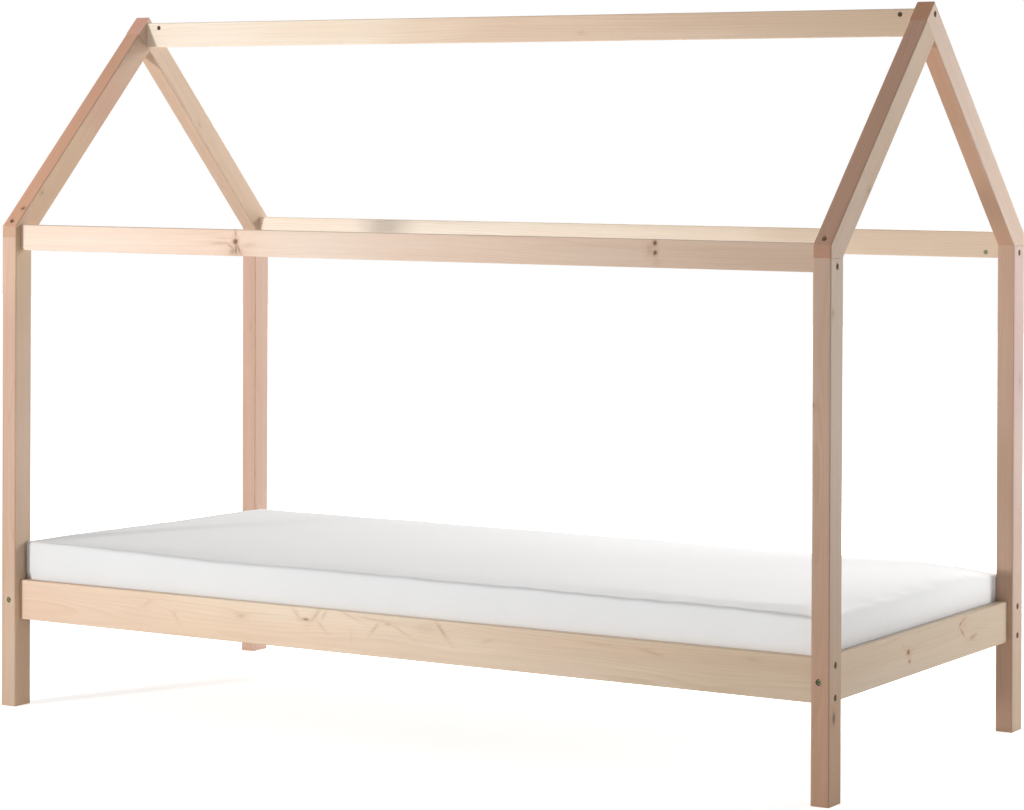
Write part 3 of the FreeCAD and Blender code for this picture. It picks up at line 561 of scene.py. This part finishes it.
def pine_material(pine, name, along, pith, seed, tint, knots=(), tilt=0.0,
                  painted_flank_light=None, painted_light_along=None, cut=None, rear=None):
    """Pine for one member with its long axis along.  The rest is a row of the
    tables above, and rear, a painted shade over the faces to the back."""
    material, w, shader = new_material(name, {
        "Roughness": pine.rough, "Specular IOR Level": 0.28})
    place, facing = w.place(), w.facing("True Normal")
    if tilt:
        place, facing = w.turn(place, "X", tilt), w.turn(facing, "X", tilt)
    order = {"X": (0, 1, 2), "Y": (1, 0, 2), "Z": (2, 0, 1)}[along]
    split = w.split(place)
    member = w.join(*(split[i] for i in order))

    marks = {}
    for centre, reach, push, dark, lean in knots:
        level = Matrix.Rotation(tilt, 3, "X") @ Vector(centre) * MM
        node = w.add("ShaderNodeGroup", {
            "Place": member, "Centre": [level[i] for i in order],
            "Reach": Vector(reach) * MM, "Lean": math.radians(lean)}, node_tree=knot_group())
        for key, join, strength in (("Heart", "MAXIMUM", dark), ("Halo", "MAXIMUM", dark),
                                    ("Swell", "ADD", push * MM)):
            mark = w.math("MULTIPLY", node.outputs[key], strength)
            marks[key] = w.math(join, marks[key], mark) if key in marks else mark

    figure = w.add("ShaderNodeGroup", {
        "Place": w.vector("SUBTRACT", member, (0.0, pith[0], pith[1])), "Seed": seed,
        "Swell": marks.get("Swell"), "Tint": rgba(tint)}, node_tree=pine_group(pine))
    colour = figure.outputs["Colour"]
    if knots:
        colour = w.mix(w.math("MULTIPLY", marks["Halo"], 0.42), colour, rgba(pine.halo))
        heart = w.mix(w.span(marks["Heart"], 0.10, 0.55), rgba(pine.halo), rgba(pine.knot))
        colour = w.mix(w.span(marks["Heart"], 0.0, 0.8, 0.0, 0.92, False), colour, heart)

    def shaded(colour, side, shade):
        """The colour with a shade over the faces that look towards one side."""
        return w.mix(w.span(side, 0.45, 0.75), colour, w.vector("MULTIPLY", colour, shade))

    station = w.split(member)[0]
    looks = w.split(facing)
    # Painted light and shade along the member
    if painted_light_along:
        colour = w.vector("MULTIPLY", colour, graded(w, station, painted_light_along))
    # Painted light and shade on the faces that look to the two ends of the bed
    if painted_flank_light:
        colour = shaded(colour, w.math("ABSOLUTE", looks[0]), graded(w, station, painted_flank_light))
    # Painted shade over the faces that look to the back
    if rear:
        colour = shaded(colour, looks[1], rear)
    sawn = w.math("ABSOLUTE", looks["XYZ".index(along)])
    colour = shaded(colour, sawn, cut or tuple(pine.end))
    w.feed(shader.inputs["Base Color"], colour)
    bump(w, shader, figure.outputs["Height"], 0.22, 0.0006)
    return material


def dress(node, material):
    """Give a node of the frame its finish in place of the plain one."""
    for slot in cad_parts[node].material_slots:
        slot.material = material


def dress_in_pine(node, pine, along, **row):
    """Give a node of the frame a pine of its own."""
    dress(node, pine_material(pine, node + "_pine", along, **row))


# -------------------- shapes
def new_object(name, data):
    """An object of the scene that shows this mesh, lamp or camera."""
    made = bpy.data.objects.new(name, data)
    bpy.context.scene.collection.objects.link(made)
    return made


def evaluated(piece):
    return piece.evaluated_get(bpy.context.evaluated_depsgraph_get())


def finish_piece(name, bm, material, body):
    """Turn a bmesh into an object of its own that rides on a body."""
    mesh = bpy.data.meshes.new(name)
    bmesh.ops.recalc_face_normals(bm, faces=bm.faces[:])
    bm.to_mesh(mesh)
    bm.free()
    piece = new_object(name, mesh)
    mesh.materials.append(material)
    for face in mesh.polygons:
        face.use_smooth = True
    mesh.set_sharp_from_angle(angle=math.radians(35))
    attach(piece, body)
    return piece


def aimed(at, way):
    """Matrix that puts a shape drawn along +Z at a point, along way."""
    turn = Vector(way).normalized().to_track_quat("Z", "Y").to_matrix().to_4x4()
    return Matrix.Translation(Vector(at)) @ turn


def cylinder(bm, segments, wide, low, high, matrix, wide_top=None):
    """Capped round from low to high along the matrix's z axis."""
    got = bmesh.ops.create_cone(
        bm, cap_ends=True, cap_tris=False, segments=segments, radius1=wide / 2,
        radius2=(wide_top or wide) / 2, depth=high - low,
        matrix=matrix @ Matrix.Translation((0, 0, (low + high) / 2)))
    return got["verts"]


def end_cap(verts, matrix, level):
    """The face of a round that lies at level along the matrix's z axis."""
    inverse = matrix.inverted()
    faces = {f for v in verts for f in v.link_faces}
    return min((f for f in faces if len(f.verts) > 4),
               key=lambda f: abs((inverse @ f.calc_center_median()).z - level))


def sink_key(bm, verts, matrix, level, sides, wide, deep):
    """Cut a key recess into a round's end at level: an inset ring, drawn in to
    the key's shape and pushed in."""
    cap = end_cap(verts, matrix, level)
    bmesh.ops.inset_individual(bm, faces=[cap], thickness=KEY_RIM, depth=0)
    inverse = matrix.inverted()
    part = 2 * math.pi / sides
    for vert in cap.verts:
        local = inverse @ vert.co
        angle = math.atan2(local.y, local.x)
        radius = wide / 2 / math.cos((angle % part) - part / 2)
        vert.co = matrix @ Vector((radius * math.cos(angle), radius * math.sin(angle), level))
    moved = bmesh.ops.extrude_discrete_faces(bm, faces=[cap])["faces"][0]
    push = (matrix.to_3x3() @ Vector((0, 0, 1))).normalized() * deep
    bmesh.ops.translate(bm, verts=moved.verts[:], vec=push)


def socket_bolt(bm, segments, at, way, reach):
    """Socket-head bolt whose head seats at the point at."""
    matrix = aimed(at, way)
    cylinder(bm, BOLT_SIDES, BOLT_WIDE, 0.0, reach, matrix)
    head = cylinder(bm, segments, BOLT_HEAD_WIDE, -BOLT_HEAD_HIGH, 0.0, matrix)
    sink_key(bm, head, matrix, -BOLT_HEAD_HIGH, *HEX_KEY)


def flat_screw(bm, segments, at, way, size):
    """Wood screw with a core, a point, a flat head and a cross recess."""
    head, high, wide, reach = size
    matrix = aimed(at, way)
    core, tip, taper = wide * 0.8, wide * 0.2, reach * 0.94
    cylinder(bm, SCREW_SIDES, core, 0.0, taper, matrix)
    cylinder(bm, SCREW_SIDES, core, taper, reach, matrix, tip)
    top = cylinder(bm, segments, head, -high, 0.0, matrix)
    sink_key(bm, top, matrix, -high, 4, head * 0.34, high * 0.6)


def barrel_nut(bm, segments, mouth, way):
    """Barrel nut whose slotted end is at mouth, running along way."""
    matrix = aimed(mouth, way)
    shell = cylinder(bm, segments, NUT_WIDE, 0.0, NUT_LONG, matrix)
    sink_key(bm, shell, matrix, 0.0, *NUT_SLOT)


def corners():
    """Signs and inward directions at the four posts."""
    for sx, sy in ((1, -1), (-1, -1), (-1, 1), (1, 1)):
        yield sx, sy, Vector((-sx, 0, 0)), Vector((0, -sy, 0))


def inside(sx, sy, in_x, in_y, z):
    """The point in_x, in_y inside the outer corner of a post."""
    return Vector((sx * (HALF_LONG - in_x), sy * (HALF_DEEP - in_y), z))


# -------------------- operators
class HOUSEBED_OT_pine_frame(bpy.types.Operator):
    """Finish posts, rafters, rails and ridge in figured pine"""

    bl_idname = "housebed.pine_frame"
    bl_label = "Pine Frame"

    def execute(self, context):
        pine = context.scene.housebed_pine
        for name, row in POSTS.items():
            dress_in_pine(name, pine, "Z", **row)
        for name, row in RAFTERS.items():
            low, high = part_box(name)
            middle = (Vector(low) + Vector(high)) / 2
            level = Matrix.Rotation(row["tilt"], 3, "X") @ middle
            pith = (middle.x + RAFTER_PITH[0], level.z + RAFTER_PITH[1])
            dress_in_pine(name, pine, "Y", pith=pith, **row)
        for name, row in LONG_RAILS.items():
            # The rails and ridge other than the front ones take the painted shade on their faces
            # to the back
            rear = None if name.endswith("_front") else tuple(pine.rear)
            dress_in_pine(name, pine, "X", rear=rear, **row)
        for name, row in END_RAILS.items():
            dress_in_pine(name, pine, "Y", **row)
        return {"FINISHED"}


class HOUSEBED_OT_slat_base(bpy.types.Operator):
    """Finish the slats and cleats in plain pine"""

    bl_idname = "housebed.slat_base"
    bl_label = "Slat Base"

    def execute(self, context):
        pine = context.scene.housebed_pine
        for i in range(1, SLATS + 1):
            name = "slat_%02d" % i
            low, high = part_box(name)
            middle = (low[0] + high[0]) / 2
            spread = 0.03 * math.sin(i * 2.3)
            shade = 0.80 + 0.03 * math.sin(i * 1.7)
            knots = ()
            if i % 3 == 1:
                centre = Vector((middle + spread / 3, 0.1 * math.cos(i), low[2])) / MM
                knots = ((centre, (10, 6, 8), 4, 0.5, 0),)
            dress_in_pine(name, pine, "Y",
                          pith=(middle + spread, low[2] - 0.05 - 0.02 * (i % 4)),
                          seed=100.0 + 5.3 * i, tint=(shade, shade * 0.95, shade * 0.90),
                          knots=knots)
        for side, y in (("front", -0.47), ("back", 0.47)):
            dress_in_pine("slat_cleat_" + side, pine, "X", pith=(y, 0.17),
                          seed=190.0 + 9 * y, tint=(0.78, 0.74, 0.70))
        return {"FINISHED"}


class HOUSEBED_OT_mattress(bpy.types.Operator):
    """Make the foam mattress in its white cotton cover"""

    bl_idname = "housebed.mattress"
    bl_label = "Mattress"

    def cotton(self, bedding):
        material, w, shader = new_material("white_cotton", {
            "Roughness": 0.88, "Sheen Weight": 0.12, "Sheen Roughness": 0.5,
            "Specular IOR Level": 0.2})
        place = w.place()
        cloud = w.noise(place, 2.2, 3.0)
        crease = w.drawn(place, (3.0, 7.0, 7.0), 4.0, 0.55)
        weave = w.math("MULTIPLY", w.bands(place, "X", 420.0), w.bands(place, "Y", 420.0))
        shade = w.math("ADD", w.span(cloud, 0.3, 0.7, 0.975, 1.0),
                       w.math("MULTIPLY", weave, 0.012))

        # Painted light and shade: the sides and the top lighter towards the right end, the ends
        # lighter towards the back
        split = w.split(place)
        looks = w.split(w.facing())
        up, out = w.span(looks[2], 0.3, 0.9), w.span(looks[0], 0.3, 0.9)
        side = w.span(split[0], -1.0, 1.0, 0.82, 1.21, False)
        top = w.span(split[0], -1.0, 1.0, 0.845, 1.02, False)
        end = w.span(split[1], -0.45, 0.45, 0.93, 1.11, False)
        painted_cover_light = w.math("MULTIPLY_ADD", up, w.math("SUBTRACT", top, side), side)
        painted_cover_light = w.math("MULTIPLY_ADD", out, w.math("SUBTRACT", end, painted_cover_light), painted_cover_light)
        grey = w.vector("SCALE", tuple(bedding.cover), None, w.math("MULTIPLY", shade, painted_cover_light))
        w.feed(shader.inputs["Base Color"], grey)
        height = w.math("ADD", w.math("MULTIPLY", weave, 0.06), crease)
        bump(w, shader, height, 0.28, 0.004)
        return material

    def puff(self, piece, bedding):
        """Puff the cover up a little under pressure and keep the result."""
        rest = [v.co.copy() for v in piece.data.vertices]
        cloth = piece.modifiers.new("cover", "CLOTH")
        fabric = cloth.settings
        fabric.use_pressure = True
        fabric.uniform_pressure_force = bedding.pressure
        fabric.effector_weights.gravity = 0
        fabric.quality = 5
        fabric.tension_stiffness = 15
        fabric.compression_stiffness = 15
        fabric.bending_stiffness = 0.5
        cloth.point_cache.frame_start = 1
        cloth.point_cache.frame_end = CLOTH_FRAMES
        scene = bpy.context.scene
        for step in range(1, CLOTH_FRAMES + 1):
            scene.frame_set(step)
        moved = [v.co.copy() for v in evaluated(piece).data.vertices]
        piece.modifiers.remove(cloth)
        scene.frame_set(1)
        for vertex, old, new in zip(piece.data.vertices, rest, moved):
            step = new - old
            if step.length > bedding.swell:
                step *= bedding.swell / step.length
            vertex.co = old + step

    def cuts(self, low, high, bedding):
        """Places of the mesh lines along one side, close at its ends."""
        near = [bedding.rim * part for part in (0.25, 0.5, 0.75, 1.0, 1.5, 2.2)]
        inner = high - low - 2 * near[-1]
        count = max(1, round(inner / bedding.pitch))
        middle = [low + near[-1] + inner * i / count for i in range(1, count)]
        return [low + n for n in near] + middle + [high - n for n in near]

    def block(self, low, high, bedding):
        """A block of fine squares with its edges and corners rounded to the rim."""
        bm = bmesh.new()
        bmesh.ops.create_cube(bm, size=1.0)
        bmesh.ops.scale(bm, vec=high - low, verts=bm.verts[:])
        bmesh.ops.translate(bm, vec=(low + high) / 2, verts=bm.verts[:])
        for axis in range(3):
            normal = Vector([float(i == axis) for i in range(3)])
            for place in self.cuts(low[axis], high[axis], bedding):
                bmesh.ops.bisect_plane(bm, geom=bm.verts[:] + bm.edges[:] + bm.faces[:],
                                       plane_co=normal * place, plane_no=normal)
        inner_low = low + Vector((bedding.rim,) * 3)
        inner_high = high - Vector((bedding.rim,) * 3)
        for vert in bm.verts:
            core = Vector([max(a, min(b, c)) for a, b, c in zip(inner_low, inner_high, vert.co)])
            off = vert.co - core
            if off.length > 1e-9:
                vert.co = core + off.normalized() * bedding.rim
        return bm

    def execute(self, context):
        bedding = context.scene.housebed_bedding
        box = [Vector(p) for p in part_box("mattress")]
        half_long = -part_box("post_front_left")[1][0] - COVER_GAP
        low = Vector((-half_long, box[0].y - COVER_REACH, box[0].z))
        high = Vector((half_long, box[1].y + COVER_REACH, box[1].z))
        piece = finish_piece("mattress_cover", self.block(low, high, bedding),
                             self.cotton(bedding), "mattress")
        self.puff(piece, bedding)
        finer = piece.modifiers.new("finer", "SUBSURF")
        finer.levels = finer.render_levels = 1
        self.keep(piece)
        self.fill(piece, low, high)
        self.ripple(piece, bedding, low, high)
        for face in piece.data.polygons:
            face.use_smooth = True
        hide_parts("mattress")
        return {"FINISHED"}

    def keep(self, piece):
        """Apply the modifiers that are on the piece."""
        mesh = bpy.data.meshes.new_from_object(evaluated(piece))
        piece.modifiers.clear()
        old, piece.data = piece.data, mesh
        bpy.data.meshes.remove(old)
        mesh.name = "mattress_cover"

    def fill(self, piece, low, high):
        """Stretch the cover again to the room between posts and rails."""
        places = [v.co for v in piece.data.vertices]
        for axis in (0, 1):
            least = min(co[axis] for co in places)
            most = max(co[axis] for co in places)
            for co in places:
                part = (co[axis] - least) / (most - least)
                co[axis] = low[axis] + part * (high[axis] - low[axis])

    def heave(self, x, y):
        """How far the top stands off its flat level: up at the near left
        corner and along the front, down at the back and the right end."""
        lift = 0.001 - 0.005 * y / 0.45 - 0.006 * max(0.0, (x - 0.84) / 0.16) ** 1.5
        for high, at_x, at_y, along, across in COVER_SWELLS:
            lift += high * math.exp(-((x - at_x) / along) ** 2 - ((y - at_y) / across) ** 2)
        return lift

    def ripple(self, piece, bedding, low, high):
        """Uneven edges, softer towards the right end, held inside the frame."""
        middle = (low + high) / 2
        half = (high - low) / 2
        crown = high.copy()
        crown.z += COVER_CROWN
        band, wall = 0.09, 0.012
        for vertex in piece.data.vertices:
            co = vertex.co
            up = max(0.0, (co.z - middle.z) / half.z)
            edge_y = max(0.0, 1.0 - (half.y - abs(co.y)) / band)
            edge_x = max(0.0, 1.0 - (half.x - abs(co.x)) / band)
            near = max(edge_y, edge_x) ** 1.5
            right = max(0.0, min(1.0, (co.x + 0.2) / 0.9))
            wave = noise.noise(Vector((co.x * 5.0, co.y * 5.0, 3.0)))
            fine = noise.noise(Vector((co.x * 14.0, co.y * 14.0, 8.0)))
            slow = noise.noise(Vector((co.x * 1.6, co.y * 2.1, 9.0)))
            lump = noise.noise(Vector((co.x * 20.0, co.y * 22.0, 5.0)))
            drop = near * (0.4 * wave + 0.25 * fine - 0.15 + right * (0.45 * lump - 0.55))
            co.z += bedding.ripple * 1.6 * up * drop
            co.z += 0.003 * up * (1.0 - near) * slow + up * self.heave(co.x, co.y)
            side = 1.0 - abs((co.z - middle.z) / half.z)
            push = bedding.ripple * 0.6 * side * (wave + 0.4 * fine - 0.2)
            for axis in (1, 0):
                if half[axis] - abs(co[axis]) < wall:
                    co[axis] += math.copysign(push, co[axis])
            for axis in range(3):
                co[axis] = max(low[axis], min(crown[axis], co[axis]))
            over = max(0.0, min(1.0, (co.z - RAIL_HIGH - 0.002) / 0.012))
            if half.y - abs(co.y) < 0.02:
                co.y += math.copysign(bedding.bulge * over * over * (3 - 2 * over), co.y)


class HOUSEBED_OT_fasteners(bpy.types.Operator):
    """Make the bolts, barrel nuts and screws in full detail, and finish the dowels"""

    bl_idname = "housebed.fasteners"
    bl_label = "Fasteners"

    def metal(self, name, hardware, shade):
        material, w, shader = new_material(name, {"Metallic": 0.9})
        place = w.place()
        cloud = w.noise(place, 420.0, 4.0, 0.6)
        w.feed(shader.inputs["Base Color"],
               w.mix(w.span(cloud, 0.3, 0.7), rgba(shade, 0.82), rgba(shade, 1.12)))
        w.feed(shader.inputs["Roughness"],
               w.span(cloud, 0.2, 0.8, hardware.rough - 0.08, hardware.rough + 0.12))
        bump(w, shader, w.noise(place, 1500.0), 0.15, 0.0002)
        return material

    def beech(self):
        material, w, shader = new_material("turned_beech", {"Roughness": 0.6})
        fleck = w.drawn(w.place(), (900.0, 900.0, 900.0), 3.0)
        w.feed(shader.inputs["Base Color"],
               w.mix(w.span(fleck, 0.3, 0.7), (0.56, 0.38, 0.22, 1), (0.66, 0.47, 0.29, 1)))
        bump(w, shader, fleck, 0.2, 0.0003)
        return material

    def corner_bolts(self, sets, n):
        """Bolts and nuts that hold the rails to the posts, and the toe screws."""
        mid, thick = POST_DEEP / 2, RAIL_THICK / 2 - NUT_SINK
        reach = NUT_BACK + NUT_PAST - HEAD_SINK
        heights = (("side", RAIL_LOW + SIDE_BOLT_EDGE), ("side", RAIL_HIGH - SIDE_BOLT_EDGE),
                   ("eave", POST_HIGH - EAVE_BOLT_DROP))
        for sx, sy, in_x, in_y in corners():
            for rail, z in heights:
                socket_bolt(sets[rail + "_rail_bolts"], n, inside(sx, sy, HEAD_SINK, mid, z),
                            in_x, POST_WIDE + reach)
                barrel_nut(sets[rail + "_rail_nuts"], n,
                           inside(sx, sy, POST_WIDE + NUT_BACK, mid + thick, z), -in_y)
            z = (RAIL_LOW + RAIL_HIGH) / 2
            socket_bolt(sets["end_rail_bolts"], n, inside(sx, sy, END_RAIL_MID, HEAD_SINK, z),
                        in_y, POST_DEEP + reach)
            barrel_nut(sets["end_rail_nuts"], n,
                       inside(sx, sy, END_RAIL_MID + thick, POST_DEEP + NUT_BACK, z), -in_x)
            z = POST_HIGH + FOOT_RISE + TOE_IN * math.tan(ROOF_PITCH) - TOE_SINK
            flat_screw(sets["rafter_toe_screws"], n,
                       inside(sx, sy, POST_WIDE / 2, TOE_IN, z), (0, 0, -1), TOE_SCREW)

    def peak_bolts(self, sets, n):
        """The ridge's bolts and nuts, and the screws between two rafters."""
        reach = POST_WIDE + NUT_BACK + NUT_PAST - HEAD_SINK
        slant = math.sqrt(0.5)
        down = Vector((0, -slant, -slant))
        z = PEAK - RIDGE_BOLT_DROP
        for sx in (1, -1):
            socket_bolt(sets["ridge_bolts"], n, (sx * (HALF_LONG - HEAD_SINK), 0, z),
                        (-sx, 0, 0), reach)
            barrel_nut(sets["ridge_nuts"], n,
                       (sx * (HALF_LONG - POST_WIDE - NUT_BACK), NUT_SINK - RAIL_THICK / 2, z),
                       (0, 1, 0))
            rise = RAFTER_DEEP / 2 * slant
            top = Vector((sx * (HALF_LONG - POST_WIDE / 2), rise, PEAK - rise))
            flat_screw(sets["peak_screws"], n, top + down * PEAK_SINK, down, PEAK_SCREW)

    def base_screws(self, sets):
        """Screws from each slat into the cleats, and from the cleats into the rails."""
        slats = [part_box("slat_%02d" % i) for i in range(1, SLATS + 1)]
        for sy in (-1, 1):
            for low, high in slats:
                flat_screw(sets["slat_screws"], SCREW_SIDES,
                           ((low[0] + high[0]) / 2, sy * SLAT_SCREW_OUT,
                            high[2] - SLAT_SCREW[1]), (0, 0, -1), SLAT_SCREW)
            for (low, high), (after, _) in zip(slats[:-1:2], slats[1::2]):
                x = (after[0] + high[0]) / 2
                flat_screw(sets["cleat_screws"], SCREW_SIDES,
                           (-sy * x, sy * CLEAT_SCREW_OUT, RAIL_LOW + CLEAT_SCREW_RISE),
                           (0, sy, 0), CLEAT_SCREW)

    def execute(self, context):
        hardware = context.scene.housebed_hardware
        zinc = self.metal("dull_zinc", hardware, hardware.zinc)
        # The ridge nuts take a dark brown steel, painted shade of their deep bores
        shade_darkened = self.metal("shade_darkened_steel", hardware, hardware.shade_darkened)
        names = [timber + kind for kind in ("_bolts", "_nuts")
                 for timber in ("side_rail", "end_rail", "eave_rail", "ridge")]
        names += ["rafter_toe_screws", "peak_screws", "cleat_screws", "slat_screws"]
        sets = {name: bmesh.new() for name in names}
        self.corner_bolts(sets, hardware.segments)
        self.peak_bolts(sets, hardware.segments)
        self.base_screws(sets)
        for name, bm in sets.items():
            finish = shade_darkened if name == "ridge_nuts" else zinc
            piece = finish_piece(name + "_zinc", bm, finish, "frame")
            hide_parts(name)
        beech = self.beech()
        for name in ("end_rail_dowels", "eave_rail_dowels", "ridge_dowels",
                     "rafter_toe_dowels"):
            dress(name, beech)
        return {"FINISHED"}


class HOUSEBED_OT_stage(bpy.types.Operator):
    """Set the floor, lamps, sky and camera"""

    bl_idname = "housebed.stage"
    bl_label = "Stage"

    def floor(self, stage):
        """Pale floor that shows white to the camera away from the bed."""
        bm = bmesh.new()
        bmesh.ops.create_grid(bm, x_segments=2, y_segments=2, size=14.0)
        mesh = bpy.data.meshes.new("floor")
        bm.to_mesh(mesh)
        bm.free()
        floor = new_object("floor", mesh)
        material, w, shader = new_material("pale_floor", {
            "Base Color": rgba(stage.floor), "Roughness": 0.9, "Specular IOR Level": 0.0,
            "Emission Color": WHITE})
        glow = w.span(w.vector("LENGTH", w.place()), 1.6, 4.0, 0.66, 1.0)
        w.feed(shader.inputs["Emission Strength"], w.math("MULTIPLY", w.backdrop(), glow))
        mesh.materials.append(material)

    def sky(self, scene, stage):
        """Even light, with white behind the bed."""
        world = bpy.data.worlds.new("studio")
        scene.world = world
        world.use_nodes = True
        tree = world.node_tree
        tree.nodes.clear()
        w = Wiring(tree)
        glow = w.span(w.backdrop(), 0.0, 1.0, stage.sky, 1.0, False)
        sky = w.add("ShaderNodeBackground", {"Color": WHITE, "Strength": glow})
        w.add("ShaderNodeOutputWorld", {"Surface": sky.outputs[0]})

    def lamp(self, name, place, aim, size, power):
        data = bpy.data.lights.new(name, "AREA")
        data.shape = "RECTANGLE"
        data.size, data.size_y = size
        data.energy = power
        new_object(name, data).matrix_world = aimed(place, Vector(place) - Vector(aim))

    def camera(self, scene, stage):
        data = bpy.data.cameras.new("camera")
        data.sensor_width = 36.0
        data.sensor_fit = "HORIZONTAL"
        data.lens = stage.lens
        data.shift_y = stage.shift
        data.clip_end = 100.0
        camera = new_object("camera", data)
        yaw, pitch, roll = stage.aim
        ahead = Vector((math.sin(yaw) * math.cos(pitch), math.cos(yaw) * math.cos(pitch),
                        math.sin(pitch)))
        right = Vector((ahead.y, -ahead.x, 0)).normalized()
        up = right.cross(ahead)
        right, up = (right * math.cos(roll) + up * math.sin(roll),
                     up * math.cos(roll) - right * math.sin(roll))
        matrix = Matrix((right, up, -ahead)).transposed().to_4x4()
        matrix.translation = Vector(stage.place)
        camera.matrix_world = matrix
        scene.camera = camera

    def execute(self, context):
        scene = context.scene
        stage = scene.housebed_stage
        self.floor(stage)
        self.sky(scene, stage)
        for name, place, aim, size, power in (
                ("key_lamp", (-2.35, -3.5, 0.75), (0.0, 0.0, 0.7), (0.35, 0.35), stage.key),
                ("side_lamp", (4.2, 2.6, 0.9), (0.6, 0.2, 0.7), (1.4, 1.4), stage.side),
                ("back_lamp", (0.0, 4.2, 3.0), (0.0, 0.2, 0.4), (3.0, 1.6), stage.back)):
            self.lamp(name, place, aim, size, power)
        self.camera(scene, stage)
        scene.view_settings.view_transform = "Standard"
        return {"FINISHED"}


class HOUSEBED_PT_panel(bpy.types.Panel):
    """Sizes, colours and steps of the bed"""

    bl_idname = "HOUSEBED_PT_panel"
    bl_label = "House Frame Bed"
    bl_space_type = "VIEW_3D"
    bl_region_type = "UI"
    bl_category = "House Bed"

    def draw(self, context):
        layout = self.layout
        for operator in STEPS:
            layout.operator(operator.bl_idname)
        for name, settings in SETTINGS:
            group = getattr(context.scene, name)
            box = layout.box()
            box.label(text=name.split("_")[1].title())
            for key in settings.__annotations__:
                box.prop(group, key)


SETTINGS = (("housebed_pine", PineSettings), ("housebed_bedding", BeddingSettings),
            ("housebed_hardware", HardwareSettings), ("housebed_stage", StageSettings))
STEPS = (HOUSEBED_OT_stage, HOUSEBED_OT_pine_frame, HOUSEBED_OT_slat_base,
         HOUSEBED_OT_mattress, HOUSEBED_OT_fasteners)


def register():
    for name, group in SETTINGS:
        bpy.utils.register_class(group)
        setattr(bpy.types.Scene, name, PointerProperty(type=group))
    for step in STEPS:
        bpy.utils.register_class(step)
    bpy.utils.register_class(HOUSEBED_PT_panel)


def unregister():
    bpy.utils.unregister_class(HOUSEBED_PT_panel)
    for step in reversed(STEPS):
        bpy.utils.unregister_class(step)
    for name, group in reversed(SETTINGS):
        delattr(bpy.types.Scene, name)
        bpy.utils.unregister_class(group)


def main():
    register()
    for step in STEPS:
        module, name = step.bl_idname.split(".")
        getattr(getattr(bpy.ops, module), name)()
    bpy.context.view_layer.update()


if __name__ == "__main__":
    main()
